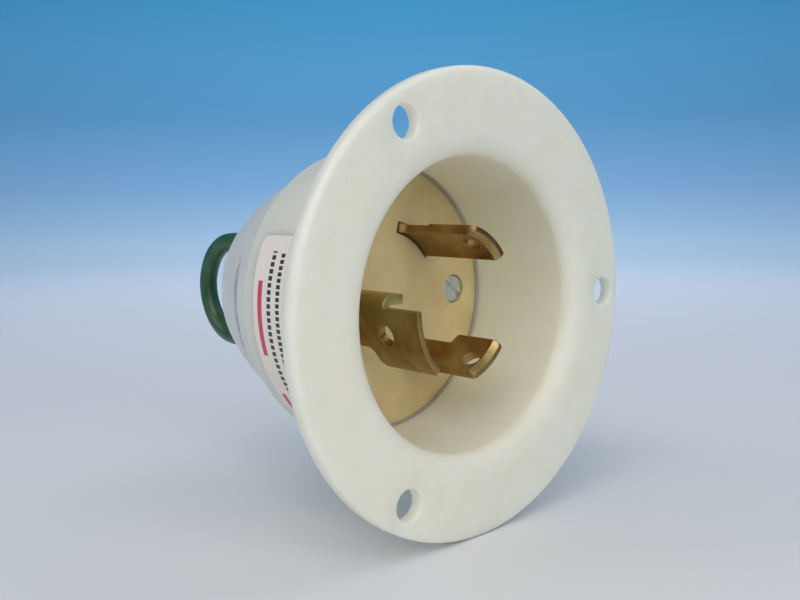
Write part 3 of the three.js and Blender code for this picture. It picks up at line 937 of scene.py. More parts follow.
def labelMaterial(name, look):
    # cream paper with plain printed bars that run round the skirt, two red and two black
    material = bpy.data.materials.new(name)
    material.use_nodes = True
    nodes, links = material.node_tree.nodes, material.node_tree.links
    nodes.clear()
    sheet = nodes.new("ShaderNodeUVMap")
    sheet.label = "place on the label"
    sheet.uv_map = "label"
    sheet.location = (-1500, 0)
    split = nodes.new("ShaderNodeSeparateXYZ")
    split.label = "across and along"
    split.location = (-1300, 0)
    fibre = nodes.new("ShaderNodeTexNoise")
    fibre.label = "paper fibre"
    fibre.location = (-800, 500)
    paperTone = nodes.new("ShaderNodeValToRGB")
    paperTone.label = "paper tone"
    paperTone.location = (-560, 500)
    headingRow = nodes.new("ShaderNodeMath")
    headingRow.label = "heading, across the label"
    headingRow.operation = "COMPARE"
    headingCuts = nodes.new("ShaderNodeMath")
    headingCuts.label = "heading, cut into pieces"
    headingCuts.operation = "MULTIPLY"
    headingPlace = nodes.new("ShaderNodeMath")
    headingPlace.label = "heading, place in a piece"
    headingPlace.operation = "FRACT"
    headingShare = nodes.new("ShaderNodeMath")
    headingShare.label = "heading, printed share"
    headingShare.operation = "LESS_THAN"
    headingBar = nodes.new("ShaderNodeMath")
    headingBar.label = "heading"
    headingBar.operation = "MULTIPLY"
    repeatedRow = nodes.new("ShaderNodeMath")
    repeatedRow.label = "repeated heading, across the label"
    repeatedRow.operation = "COMPARE"
    repeatedCuts = nodes.new("ShaderNodeMath")
    repeatedCuts.label = "repeated heading, cut into pieces"
    repeatedCuts.operation = "MULTIPLY"
    repeatedPlace = nodes.new("ShaderNodeMath")
    repeatedPlace.label = "repeated heading, place in a piece"
    repeatedPlace.operation = "FRACT"
    repeatedShare = nodes.new("ShaderNodeMath")
    repeatedShare.label = "repeated heading, printed share"
    repeatedShare.operation = "LESS_THAN"
    repeatedBar = nodes.new("ShaderNodeMath")
    repeatedBar.label = "repeated heading"
    repeatedBar.operation = "MULTIPLY"
    upperRow = nodes.new("ShaderNodeMath")
    upperRow.label = "upper line, across the label"
    upperRow.operation = "COMPARE"
    upperCuts = nodes.new("ShaderNodeMath")
    upperCuts.label = "upper line, cut into pieces"
    upperCuts.operation = "MULTIPLY"
    upperPlace = nodes.new("ShaderNodeMath")
    upperPlace.label = "upper line, place in a piece"
    upperPlace.operation = "FRACT"
    upperShare = nodes.new("ShaderNodeMath")
    upperShare.label = "upper line, printed share"
    upperShare.operation = "LESS_THAN"
    upperBar = nodes.new("ShaderNodeMath")
    upperBar.label = "upper line"
    upperBar.operation = "MULTIPLY"
    lowerRow = nodes.new("ShaderNodeMath")
    lowerRow.label = "lower line, across the label"
    lowerRow.operation = "COMPARE"
    lowerCuts = nodes.new("ShaderNodeMath")
    lowerCuts.label = "lower line, cut into pieces"
    lowerCuts.operation = "MULTIPLY"
    lowerPlace = nodes.new("ShaderNodeMath")
    lowerPlace.label = "lower line, place in a piece"
    lowerPlace.operation = "FRACT"
    lowerShare = nodes.new("ShaderNodeMath")
    lowerShare.label = "lower line, printed share"
    lowerShare.operation = "LESS_THAN"
    lowerBar = nodes.new("ShaderNodeMath")
    lowerBar.label = "lower line"
    lowerBar.operation = "MULTIPLY"
    bothRed = nodes.new("ShaderNodeMath")
    bothRed.label = "all red bars"
    bothRed.operation = "MAXIMUM"
    bothRed.location = (-160, 300)
    bothBlack = nodes.new("ShaderNodeMath")
    bothBlack.label = "all black bars"
    bothBlack.operation = "MAXIMUM"
    bothBlack.location = (-160, -300)
    margin = nodes.new("ShaderNodeMath")
    margin.label = "kept off the margins"
    margin.operation = "COMPARE"
    margin.location = (-160, 0)
    redInk = nodes.new("ShaderNodeMath")
    redInk.label = "red ink"
    redInk.operation = "MULTIPLY"
    redInk.location = (20, 120)
    blackInk = nodes.new("ShaderNodeMath")
    blackInk.label = "black ink"
    blackInk.operation = "MULTIPLY"
    blackInk.location = (20, -160)
    withRed = nodes.new("ShaderNodeMix")
    withRed.label = "red printed"
    withRed.data_type = "RGBA"
    withRed.location = (240, 360)
    withBlack = nodes.new("ShaderNodeMix")
    withBlack.label = "black printed"
    withBlack.data_type = "RGBA"
    withBlack.location = (460, 260)
    relief = nodes.new("ShaderNodeBump")
    relief.label = "fibre relief"
    relief.location = (460, -60)
    paper = nodes.new("ShaderNodeBsdfPrincipled")
    paper.label = "label"
    paper.location = (700, 200)
    output = nodes.new("ShaderNodeOutputMaterial")
    output.location = (1000, 200)
    rows = (
        (headingRow, headingCuts, headingPlace, headingShare, headingBar),
        (repeatedRow, repeatedCuts, repeatedPlace, repeatedShare, repeatedBar),
        (upperRow, upperCuts, upperPlace, upperShare, upperBar),
        (lowerRow, lowerCuts, lowerPlace, lowerShare, lowerBar),
    )
    for k, row in enumerate(rows):
        for step, member in enumerate(row):
            member.location = (-1100 + 180 * step, 400 - 220 * k)
    for frameLabel, members in (
        ("red printing", (*rows[0], *rows[1], bothRed, redInk)),
        ("black printing", (*rows[2], *rows[3], bothBlack, blackInk)),
        ("paper sheet", (fibre, paperTone, relief)),
    ):
        group = nodes.new("NodeFrame")
        group.label = frameLabel
        for member in members:
            member.parent = group
    headingRow.inputs[1].default_value = look["heading"]["across"]
    headingRow.inputs[2].default_value = look["heading"]["halfWidth"]
    headingCuts.inputs[1].default_value = look["heading"]["pieces"]
    headingShare.inputs[1].default_value = look["heading"]["filled"]
    repeatedRow.inputs[1].default_value = look["repeated"]["across"]
    repeatedRow.inputs[2].default_value = look["repeated"]["halfWidth"]
    repeatedCuts.inputs[1].default_value = look["repeated"]["pieces"]
    repeatedShare.inputs[1].default_value = look["repeated"]["filled"]
    upperRow.inputs[1].default_value = look["upper"]["across"]
    upperRow.inputs[2].default_value = look["upper"]["halfWidth"]
    upperCuts.inputs[1].default_value = look["upper"]["pieces"]
    upperShare.inputs[1].default_value = look["upper"]["filled"]
    lowerRow.inputs[1].default_value = look["lower"]["across"]
    lowerRow.inputs[2].default_value = look["lower"]["halfWidth"]
    lowerCuts.inputs[1].default_value = look["lower"]["pieces"]
    lowerShare.inputs[1].default_value = look["lower"]["filled"]
    margin.inputs[1].default_value = 0.5
    margin.inputs[2].default_value = look["printReach"]
    fibre.inputs["Scale"].default_value = 45
    fibre.inputs["Detail"].default_value = 5
    paperTone.color_ramp.elements[0].position = 0.3
    paperTone.color_ramp.elements[0].color = (*look["shade"], 1)
    paperTone.color_ramp.elements[1].position = 0.7
    paperTone.color_ramp.elements[1].color = (*look["paper"], 1)
    withRed.inputs["B"].default_value = (*look["red"], 1)
    withBlack.inputs["B"].default_value = (*look["black"], 1)
    relief.inputs["Strength"].default_value = 0.15
    relief.inputs["Distance"].default_value = 0.00002
    paper.inputs["Roughness"].default_value = 0.42
    paper.inputs["Coat Weight"].default_value = 0.15
    links.new(sheet.outputs["UV"], split.inputs[0])
    links.new(sheet.outputs["UV"], fibre.inputs["Vector"])
    links.new(fibre.outputs["Fac"], paperTone.inputs["Fac"])
    links.new(fibre.outputs["Fac"], relief.inputs["Height"])
    links.new(split.outputs["Y"], headingRow.inputs[0])
    links.new(split.outputs["X"], headingCuts.inputs[0])
    links.new(headingCuts.outputs[0], headingPlace.inputs[0])
    links.new(headingPlace.outputs[0], headingShare.inputs[0])
    links.new(headingRow.outputs[0], headingBar.inputs[0])
    links.new(headingShare.outputs[0], headingBar.inputs[1])
    links.new(split.outputs["Y"], repeatedRow.inputs[0])
    links.new(split.outputs["X"], repeatedCuts.inputs[0])
    links.new(repeatedCuts.outputs[0], repeatedPlace.inputs[0])
    links.new(repeatedPlace.outputs[0], repeatedShare.inputs[0])
    links.new(repeatedRow.outputs[0], repeatedBar.inputs[0])
    links.new(repeatedShare.outputs[0], repeatedBar.inputs[1])
    links.new(split.outputs["Y"], upperRow.inputs[0])
    links.new(split.outputs["X"], upperCuts.inputs[0])
    links.new(upperCuts.outputs[0], upperPlace.inputs[0])
    links.new(upperPlace.outputs[0], upperShare.inputs[0])
    links.new(upperRow.outputs[0], upperBar.inputs[0])
    links.new(upperShare.outputs[0], upperBar.inputs[1])
    links.new(split.outputs["Y"], lowerRow.inputs[0])
    links.new(split.outputs["X"], lowerCuts.inputs[0])
    links.new(lowerCuts.outputs[0], lowerPlace.inputs[0])
    links.new(lowerPlace.outputs[0], lowerShare.inputs[0])
    links.new(lowerRow.outputs[0], lowerBar.inputs[0])
    links.new(lowerShare.outputs[0], lowerBar.inputs[1])
    links.new(split.outputs["X"], margin.inputs[0])
    links.new(headingBar.outputs[0], bothRed.inputs[0])
    links.new(repeatedBar.outputs[0], bothRed.inputs[1])
    links.new(upperBar.outputs[0], bothBlack.inputs[0])
    links.new(lowerBar.outputs[0], bothBlack.inputs[1])
    links.new(margin.outputs[0], redInk.inputs[0])
    links.new(bothRed.outputs[0], redInk.inputs[1])
    links.new(margin.outputs[0], blackInk.inputs[0])
    links.new(bothBlack.outputs[0], blackInk.inputs[1])
    links.new(redInk.outputs[0], withRed.inputs["Factor"])
    links.new(paperTone.outputs["Color"], withRed.inputs["A"])
    links.new(blackInk.outputs[0], withBlack.inputs["Factor"])
    links.new(withRed.outputs["Result"], withBlack.inputs["A"])
    links.new(withBlack.outputs["Result"], paper.inputs["Base Color"])
    links.new(relief.outputs["Normal"], paper.inputs["Normal"])
    links.new(paper.outputs["BSDF"], output.inputs["Surface"])
    return material


nylonLook = {
    "clean": (0.88, 0.82, 0.70), "shade": (0.86, 0.80, 0.67), "dust": (0.52, 0.47, 0.38),
    "cloudScale": 90, "flowScale": 260, "streak": 0.97, "speckScale": 240, "speckSize": 0.022,
    "grainScale": 3200, "grain": 0.22, "roughness": 0.4, "specular": 0.5, "subsurface": 1.0, "depth": 0.0055,
}
carrierLook = {
    **nylonLook, "clean": (0.80, 0.65, 0.34), "shade": (0.70, 0.55, 0.26), "dust": (0.3, 0.25, 0.16),
    "roughness": 0.46, "subsurface": 0.7, "depth": 0.003, "streak": 0.92,
}
nylon = nylonMaterial("nylon", nylonLook)
carrierNylon = nylonMaterial("carrierNylon", carrierLook)
coreLook = {**carrierLook, "clean": (0.64, 0.58, 0.44), "shade": (0.55, 0.48, 0.34)}
coreNylon = nylonMaterial("coreNylon", coreLook)
# bare is the bright brass put on rims and tip chamfers, worn metal together with painted highlight
brassLook = {
    "brown": (0.20, 0.09, 0.03), "olive": (0.34, 0.21, 0.075), "yellow": (0.52, 0.38, 0.15),
    "bare": (0.74, 0.60, 0.28), "stainScale": 130, "roughness": 0.34,
}
groundBrassLook = {
    **brassLook, "brown": (0.27, 0.14, 0.045), "olive": (0.42, 0.30, 0.10), "yellow": (0.58, 0.47, 0.19),
}
brass = bladeMaterial("bladeBrass", brassLook)
groundBrass = bladeMaterial("groundBladeBrass", groundBrassLook)
zinc = metalMaterial("zincSteel", {
    "bright": (0.74, 0.79, 0.86), "dull": (0.52, 0.57, 0.62), "patchScale": 420, "rubbing": (1, 0.3, 1),
    "roughness": 0.34, "relief": 0.2, "metallic": 1, "coat": 0,
})
strapSteel = metalMaterial("strapSteel", {
    "bright": (0.66, 0.66, 0.65), "dull": (0.44, 0.44, 0.44), "patchScale": 320, "rubbing": (0.3, 1.5, 0.3),
    "roughness": 0.5, "relief": 0.25, "metallic": 0.7, "coat": 0,
})
nickel = metalMaterial("nickel", {
    "bright": (0.72, 0.69, 0.63), "dull": (0.50, 0.48, 0.43), "patchScale": 380, "rubbing": (1, 0.4, 1),
    "roughness": 0.3, "relief": 0.18, "metallic": 1, "coat": 0,
})
screwBrass = metalMaterial("screwBrass", {
    "bright": (0.80, 0.62, 0.30), "dull": (0.45, 0.31, 0.12), "patchScale": 420, "rubbing": (1, 0.3, 1),
    "roughness": 0.3, "relief": 0.2, "metallic": 1, "coat": 0,
})
nutBrass = metalMaterial("nutBrass", {
    "bright": (0.72, 0.56, 0.26), "dull": (0.38, 0.27, 0.11), "patchScale": 300, "rubbing": (1, 1, 0.3),
    "roughness": 0.36, "relief": 0.25, "metallic": 1, "coat": 0,
})
greenPaint = metalMaterial("groundGreen", {
    "bright": (0.05, 0.30, 0.12), "dull": (0.03, 0.18, 0.07), "patchScale": 500, "rubbing": (1, 0.5, 1),
    "roughness": 0.34, "relief": 0.15, "metallic": 0.25, "coat": 0.5,
})
copper = metalMaterial("bareCopper", {
    "bright": (0.85, 0.48, 0.30), "dull": (0.50, 0.24, 0.13), "patchScale": 500, "rubbing": (1, 0.2, 1),
    "roughness": 0.3, "relief": 0.25, "metallic": 1, "coat": 0,
})
insulation = insulationMaterial("greenInsulation", {
    "deep": (0.005, 0.055, 0.016), "faded": (0.014, 0.105, 0.030), "roughness": 0.42, "coat": 0.35,
})
paper = labelMaterial("labelPaper", {
    "paper": (0.94, 0.85, 0.75), "shade": (0.88, 0.79, 0.69), "red": (0.68, 0.06, 0.13),
    "black": (0.03, 0.03, 0.035), "printReach": 0.43,
    "heading": {"across": 0.87, "halfWidth": 0.04, "pieces": -1.9, "filled": 0.62},
    "repeated": {"across": 0.38, "halfWidth": 0.036, "pieces": 30, "filled": 0.7},
    "upper": {"across": 0.70, "halfWidth": 0.034, "pieces": 34, "filled": 0.66},
    "lower": {"across": 0.54, "halfWidth": 0.034, "pieces": 38, "filled": 0.66},
})
print("materials made")


# turns a piece made along Y, head first, so that it looks out along a radius
def radialPlace(angle, y):
    turn = math.radians(angle)
    s, c = math.sin(turn), math.cos(turn)
    return Matrix.Translation((0, y * mm, 0)) @ Matrix(((s, -c, 0), (0, 0, 1), (-c, -s, 0))).to_4x4()


housing = {
    "radius": 35.5, "thickness": 2.2, "frontEdge": 0.8, "rearEdge": 0.25,
    "throatStart": 27.0, "throatRadius": 22.6, "throatEnd": 0.8,
    "floor": 18.5, "wallFoot": 22.1, "footEdge": 0.22, "lipRadius": 21.8, "lipRear": 19.0, "lipEdge": 0.25,
    "skirtFront": 24.9, "skirtRear": 24.2, "skirtEnd": 25.6, "fillet": 1.0, "skirtEdge": 0.7,
    "socket": 22.3, "socketEdge": 0.2, "faceMargin": 0.3, "rootMargin": 0.2, "throatMargin": 0.4,
    "throatSteps": 24,
    "holeCircle": 31.0, "holeRadius": 2.4, "spotRadius": 4.1, "spotDepth": 0.07,
    "holeEdge": 0.22, "facets": 180,
}


def makeHousing(h):
    front = -h["thickness"]
    edge, fillet = h["frontEdge"], h["fillet"]
    profile = [(h["radius"] - edge - h["faceMargin"], front)]
    profile += arc((h["radius"] - edge, front + edge), edge, -90, 0, 8)
    profile += arc((h["radius"] - h["rearEdge"], -h["rearEdge"]), h["rearEdge"], 0, 90, 4)
    profile += [(h["skirtFront"] + fillet + h["rootMargin"], 0)]
    profile += arc((h["skirtFront"] + fillet, fillet), fillet, -90, -180, 6)
    skirtEdge = h["skirtEdge"]
    profile += arc((h["skirtRear"] - skirtEdge, h["skirtEnd"] - skirtEdge), skirtEdge, 2, 90, 6)
    socketEdge, lipEdge, footEdge = h["socketEdge"], h["lipEdge"], h["footEdge"]
    profile += arc((h["socket"] + socketEdge, h["skirtEnd"] - socketEdge), socketEdge, 90, 180, 3)
    profile += [(h["socket"], h["lipRear"])]
    profile += arc((h["lipRadius"] + lipEdge, h["lipRear"] - lipEdge), lipEdge, 90, 270, 6)
    profile += arc((h["wallFoot"] - footEdge, h["floor"] - footEdge), footEdge, 90, 4, 4)
    throat = h["throatStart"] - h["throatRadius"]
    depth = h["throatEnd"] + h["thickness"]
    for i in range(h["throatSteps"] + 1):
        turn = math.radians(90 * i / h["throatSteps"])
        profile.append((h["throatStart"] - throat * math.cos(turn), h["throatEnd"] - depth * math.sin(turn)))
    profile.append((h["throatStart"] + h["throatMargin"], front))
    piece = grow(
        "flangeHousing", turning, profileMesh("housingProfile", profile, True),
        **{"Facets": h["facets"], "Guide Radius": 0.029, "Material": nylon},
    )
    finishShape(piece)
    hole, flare = h["holeRadius"], h["holeEdge"]
    spot = front + h["spotDepth"]
    spool = [(0, front - 1), (h["spotRadius"], front - 1), (h["spotRadius"], spot)]
    spool += arc((hole + flare, spot + flare), flare, -90, -180, 4)
    spool += arc((hole + flare, -flare), flare, 180, 90, 4)
    spool += [(hole + flare, 1), (0, 1)]
    drill = grow(
        "drill", turning, profileMesh("drillProfile", spool, False),
        **{"Facets": 64, "Guide Radius": hole * mm, "Material": nylon},
    )
    finishShape(drill)
    piece = regrow(piece, drilling, **{
        "Drill": drill, "Circle Radius": h["holeCircle"] * mm, "Count": 3, "Material": nylon,
    })
    bpy.data.objects.remove(drill)
    finishShape(piece)
    settle(piece, "root", "nylon", "flange_housing")


def regrow(piece, tree, **values):
    base = piece.data
    name = piece.name
    bpy.data.objects.remove(piece)
    return grow(name, tree, base, **values)


# how worn a face of a bent plate is, and which slopes count as its rounded rim; the brighter rims and tip
# chamfer it gives are partly painted highlight
wear = {"rim": 0.16, "tip": 0.5, "besideTip": 0.04, "rimFrom": 0.2, "rimTo": 0.97, "inward": -0.9}


def bentPlate(name, plate, material):
    # a flat blank with rounded edges is cut out, sliced across, and bent round the Y axis
    inner, outer, bevel = plate["inner"], plate["outer"], plate["bevel"]
    middle = (inner + outer) / 2
    perDegree = math.radians(1) * middle
    flat = bpy.data.curves.new(name, "CURVE")
    flat.dimensions = "2D"
    flat.fill_mode = "BOTH"
    flat.extrude = ((outer - inner) / 2 - bevel) * mm
    flat.bevel_depth = bevel * mm
    flat.bevel_resolution = 2
    flat.offset = -bevel * mm
    loops = [roundedOutline([(angle * perDegree, y, radius) for angle, y, radius in plate["outline"]])]
    for angle, y, radius in plate.get("holes", []):
        loops.append(arc((angle * perDegree, y), radius, 0, 360, 40)[:-1])
    for loop in loops:
        spline = flat.splines.new("POLY")
        spline.points.add(len(loop) - 1)
        for point, (x, y) in zip(spline.points, loop):
            point.co = (x * mm, y * mm, 0, 1)
        spline.use_cyclic_u = True
    blank = placed(name, flat)
    mesh = evaluated(blank)
    bpy.data.objects.remove(blank)
    mesh.materials.clear()
    mesh.materials.append(material)
    shape = bmesh.new()
    shape.from_mesh(mesh)
    bmesh.ops.remove_doubles(shape, verts=shape.verts, dist=mergeDistance)
    angles = [corner[0] for corner in plate["outline"]]
    cuts = [((angle * perDegree), None) for angle in frange(min(angles), max(angles), plate["step"])]
    fold, tip, bow = plate.get("fold"), plate.get("tip"), plate.get("bow")
    if bow:
        ramp = [bow["ramp"] * k / 6 for k in range(7)]
        cuts += [((bow["from"] + angle) * perDegree, None) for angle in ramp]
        cuts += [((bow["to"] - angle) * perDegree, None) for angle in ramp]
    if fold:
        reach = fold["radius"] * math.pi / 2
        cuts += [(fold["angle"] * perDegree - reach * k / 8, None) for k in range(9)]
    if tip:
        cuts += [(None, tip["y"] + tip["length"])]
    for x, y in cuts:
        place = (x * mm, 0, 0) if y is None else (0, y * mm, 0)
        along = (1, 0, 0) if y is None else (0, 1, 0)
        everything = list(shape.verts) + list(shape.edges) + list(shape.faces)
        bmesh.ops.bisect_plane(shape, geom=everything, dist=1e-7, plane_co=place, plane_no=along)
    bmesh.ops.triangulate(shape, faces=[face for face in shape.faces if len(face.verts) > 4])
    shape.normal_update()
    # rims and the tip chamfer get a higher worn value; this brightening is edge wear together with painted
    # highlight
    worn = shape.faces.layers.float.new("worn")
    for face in shape.faces:
        up = abs(face.normal.z)
        middleY = face.calc_center_median().y / mm
        face[worn] = wear["rim"] if wear["rimFrom"] < up < wear["rimTo"] else 0.0
        if tip and middleY < tip["y"] + tip["length"]:
            tipWearAndHighlight = wear["tip"] if face.normal.z < wear["inward"] else wear["besideTip"]
            face[worn] = max(face[worn], tipWearAndHighlight)
    for vertex in shape.verts:
        x, y, up = vertex.co / mm
        high = up + (outer - inner) / 2
        if tip and y < tip["y"] + tip["length"]:
            cut = tip["depth"] * (1 - (y - tip["y"]) / tip["length"])
            high = cut + high * (1 - cut / (outer - inner))
        if bow:
            high += bow["rise"] * bowShare(x / perDegree, bow)
        vertex.co = bentPoint(x, y, high + inner, middle, perDegree, fold)
    faceOutwards(shape)
    shape.to_mesh(mesh)
    shape.free()
    piece = placed(name, mesh)
    piece.data.polygons.foreach_set("use_smooth", [True] * len(mesh.polygons))
    piece.data.set_sharp_from_angle(angle=math.radians(28))
    return piece


def bowShare(angle, bow):
    # 0 on the band, 1 on the raised stretch, with an even ramp at each end
    into = min(angle - bow["from"], bow["to"] - angle) / bow["ramp"]
    share = max(0, min(1, into))
    return share * share * (3 - 2 * share)


def frange(start, end, step):
    steps = range(1, int((end - start) / step) + 1)
    return [start + step * k for k in steps if start + step * k < end - 0.05]


def bentPoint(x, y, radius, middle, perDegree, fold):
    if not fold or x >= fold["angle"] * perDegree or y < fold["slit"]:
        return around(radius, x / perDegree, y)
    # past the fold line the strip turns in towards the axis
    past = fold["angle"] * perDegree - x
    turn = min(past / fold["radius"], math.pi / 2)
    straight = max(0, past - fold["radius"] * math.pi / 2)
    out = fold["radius"] + radius - middle
    centre = middle - fold["radius"]
    outward = around(centre + out * math.cos(turn) - straight, fold["angle"], y)
    return outward + around(out * math.sin(turn), fold["angle"] - 90, 0)


blade = {"inner": 11, "outer": 12.5, "bevel": 0.14, "step": 2.0}
clampHole = 2.05
bladePlates = {
    "line": {
        **blade, "tip": {"y": 2.2, "length": 1.1, "depth": 0.62},
        "holes": [(55, 5.9, 1.6), (53, 27.8, clampHole)],
        "outline": [
            (34.5, 2.2, 0.7), (77, 2.2, 1.2), (77, 12.2, 0.8), (71.5, 12.6, 0.5),
            (71.5, 18.0, 0.5), (76, 18.9, 0.2),
            (76, 19.2, 0), (72, 19.3, 0), (72, 31.5, 0.6), (37, 31.5, 0.6), (37, 19.2, 0), (34.5, 19, 0),
        ],
    },
    "neutral": {
        **blade, "tip": {"y": 2.3, "length": 1.1, "depth": 0.62},
        "holes": [(-59, 5.4, 1.6), (-60, 27.8, clampHole)],
        "outline": [
            (-75, 2.3, 0.7), (-36, 2.3, 0.9), (-36, 11.2, 0.4), (-45, 11.9, 0.4),
            (-45, 23.5, 0), (-41, 23.5, 0),
            (-41, 31.5, 0.6), (-76, 31.5, 0.6), (-76, 23.5, 0), (-75, 23.4, 0),
        ],
    },
    "ground": {
        **blade, "tip": {"y": -1, "length": 1.1, "depth": 0.62},
        "holes": [(198, 6.4, 1.6), (207, 27.8, clampHole)],
        "fold": {"angle": 178.2, "radius": 1.1, "slit": 6.3},
        "outline": [
            (178.9, -1, 0.3), (229, -1, 0.8), (229, 9.9, 0.8), (223.6, 10.7, 1.5),
            (212.7, 10.5, 1.0), (210, 11.4, 0.5),
            (210, 23.5, 0), (226, 23.5, 0.3), (226, 31.5, 0.6), (191, 31.5, 0.6),
            (191, 23.5, 0.3), (178.5, 23.5, 0),
            (178.5, 19, 0), (157.8, 18.95, 0.2), (157.8, 6.4, 0.3), (178.2, 6.4, 0.1), (178.2, -0.5, 0.2),
        ],
    },
}


def makeBlades():
    for pole, plate in bladePlates.items():
        piece = bentPlate("blade" + pole.capitalize(), plate, groundBrass if pole == "ground" else brass)
        settle(piece, "root", "blade_brass", "blade_" + pole)


carrier = {
    "radius": 22, "front": 19.06, "rear": 23.2, "edge": 0.25,
    "slotInner": 10.75, "slotOuter": 12.75, "slotPlay": 1.4, "slotFront": 17, "slotRear": 26,
    "slots": [(34.5, 76), (-75, -45), (174.5, 210)], "rearEdge": 0.3, "screwCircle": 16.2, "screwHole": 1.75,
    "pocket": 2.52, "pocketEdge": 0.15, "pocketRear": 22, "facets": 180,
}


def makeCarrier(c):
    profile = [(0, c["front"])] + arc((c["radius"] - c["edge"], c["front"] + c["edge"]), c["edge"], -90, 0, 4)
    rearEdge = c["rearEdge"]
    profile += arc((c["radius"] - rearEdge, c["rear"] - rearEdge), rearEdge, 0, 90, 3) + [(0, c["rear"])]
    piece = grow(
        "bladeCarrier", turning, profileMesh("carrierProfile", profile, False),
        **{"Facets": c["facets"], "Guide Radius": 0.011, "Material": carrierNylon},
    )
    finishShape(piece)
    cutters = []
    for start, end in c["slots"]:
        low, high = start - c["slotPlay"], end + c["slotPlay"]
        front, rear = c["slotFront"], c["slotRear"]
        corners = [(low, front, 0), (high, front, 0), (high, rear, 0), (low, rear, 0)]
        slot = {
            "inner": c["slotInner"], "outer": c["slotOuter"], "bevel": 0.1, "step": 2.0, "outline": corners,
        }
        cutters.append(bentPlate("slotCutter", slot, carrierNylon))
    edge = c["pocketEdge"]
    spool = [(0, c["front"] - 1), (c["pocket"] + edge, c["front"] - 1)]
    spool += arc((c["pocket"] + edge, c["front"] + edge), edge, -90, -180, 4)
    spool += [(c["pocket"], c["pocketRear"]), (c["screwHole"], c["pocketRear"])]
    spool += [(c["screwHole"], c["rear"] + 1), (0, c["rear"] + 1)]
    for side in (1, -1):
        cutter = grow(
            "pocketCutter", turning, profileMesh("pocketProfile", spool, False),
            **{"Facets": 48, "Guide Radius": c["pocket"] * mm, "Material": carrierNylon},
        )
        finishShape(cutter)
        cutter.data.transform(Matrix.Translation((side * c["screwCircle"] * mm, 0, 0)))
        cutters.append(cutter)
    carve(piece, cutters)
    finishShape(piece, sharpAngle=28)
    settle(piece, "root", "carrier_nylon", "blade_carrier")


rearCover = {
    "outside": [
        (23.3, 25.9), (22.9, 27), (21.9, 30), (20.9, 33), (19.8, 36), (18.6, 39), (17.2, 42),
        (16.6, 43.2), (15.9, 44), (14.8, 44.5),
    ],
    "inside": [(14.6, 42.5), (15.6, 41), (17, 39), (18.4, 36), (19.6, 33), (20.4, 30), (20.9, 27)],
    "seam": 25.9, "spigotInner": 20.3, "spigotOuter": 22, "spigotFront": 23.5, "rear": 44.5, "wall": 2,
    "bossHalf": 4, "bossInner": 12.9, "bossOuter": 21, "bossRear": 31, "pocket": 5.6, "pocketRear": 28.9,
    "screwCircle": 16.2, "screwHole": 1.75,
    "slotFrom": 160, "slotTo": 206, "slotFront": 31, "slotRear": 33.2, "slotInner": 19.2, "slotOuter": 24.5,
    "slotCorner": 0.9, "spigotEdge": 0.2, "seamEdge": 0.25,
    "entryCircle": 11.9, "entryRadius": 3.2, "entryAngles": (65.5, -47.5, 188),
    "entryFront": 40, "entryEdge": 0.5,
    "loopX": -10.45, "loopHalf": 8.6, "loopRadius": 2, "loopEdge": 0.4, "facets": 180,
}


def makeRearCover(c):
    profile = [(0, c["rear"] - c["wall"])] + smoothLine(c["inside"], 4)
    profile += [(c["spigotInner"], c["seam"]), (c["spigotInner"], c["spigotFront"])]
    spigotEdge, seamEdge = c["spigotEdge"], c["seamEdge"]
    profile += arc((c["spigotOuter"] - spigotEdge, c["spigotFront"] + spigotEdge), spigotEdge, -90, 0, 3)
    profile += [(c["spigotOuter"], c["seam"])]
    outside = smoothLine(c["outside"], 4)
    profile += arc((outside[0][0] - seamEdge, c["seam"] + seamEdge), seamEdge, -90, -10, 4)
    profile += outside[2:] + [(0, c["rear"])]
    piece = grow(
        "rearCover", turning, profileMesh("coverProfile", profile, False),
        **{"Facets": c["facets"], "Guide Radius": 0.011, "Material": nylon},
    )
    finishShape(piece)
    carve(piece, [
        block("boss", angle, c["bossHalf"] * 2, c["bossInner"], c["bossOuter"], c["seam"], c["bossRear"])
        for angle in (0, 180)
    ], "UNION")
    pocketInner, pocketOuter = c["screwCircle"] - c["pocket"] / 2, c["screwCircle"] + c["pocket"] / 2
    cutters = [
        block("nutPocket", angle, c["pocket"], pocketInner, pocketOuter, c["seam"] - 1, c["pocketRear"])
        for angle in (0, 180)
    ]
    low, high, front, rear = c["slotFrom"], c["slotTo"], c["slotFront"], c["slotRear"]
    corner = c["slotCorner"]
    corners = [(low, front, corner), (high, front, corner), (high, rear, corner), (low, rear, corner)]
    slot = {"inner": c["slotInner"], "outer": c["slotOuter"], "bevel": 0.05, "step": 3.0, "outline": corners}
    cutters.append(bentPlate("strapSlot", slot, nylon))
    places = [
        (around(c["entryCircle"], angle, 0), c["entryRadius"], c["entryEdge"]) for angle in c["entryAngles"]
    ]
    places += [
        (Vector((c["loopX"], 0, side * c["loopHalf"])) * mm, c["loopRadius"], c["loopEdge"])
        for side in (1, -1)
    ]
    places += [(around(c["screwCircle"], angle, 0), c["screwHole"], None) for angle in (0, 180)]
    for place, radius, edge in places:
        if edge is None:
            spool = [(0, c["seam"]), (radius, c["seam"]), (radius, c["bossRear"] + 1), (0, c["bossRear"] + 1)]
        else:
            spool = [(0, c["entryFront"]), (radius, c["entryFront"])]
            spool += arc((radius + edge, c["rear"] - edge), edge, 180, 90, 5)
            spool += [(radius + edge, c["rear"] + 1), (0, c["rear"] + 1)]
        cutter = grow(
            "coverCutter", turning, profileMesh("coverCutterProfile", spool, False),
            **{"Facets": 48, "Guide Radius": radius * mm, "Material": nylon},
        )
        finishShape(cutter)
        cutter.data.transform(Matrix.Translation(place))
        cutters.append(cutter)
    carve(piece, cutters)
    finishShape(piece)
    settle(piece, "root", "nylon", "rear_cover")


screw = {
    "pitch": 0.794, "threadDepth": 0.28, "rows": 8, "facets": 36,
    "slotWidth": 0.9, "slotDepth": 0.62, "edge": 0.28, "rearEdge": 0.12, "point": 0.4, "runOut": 0.2,
}


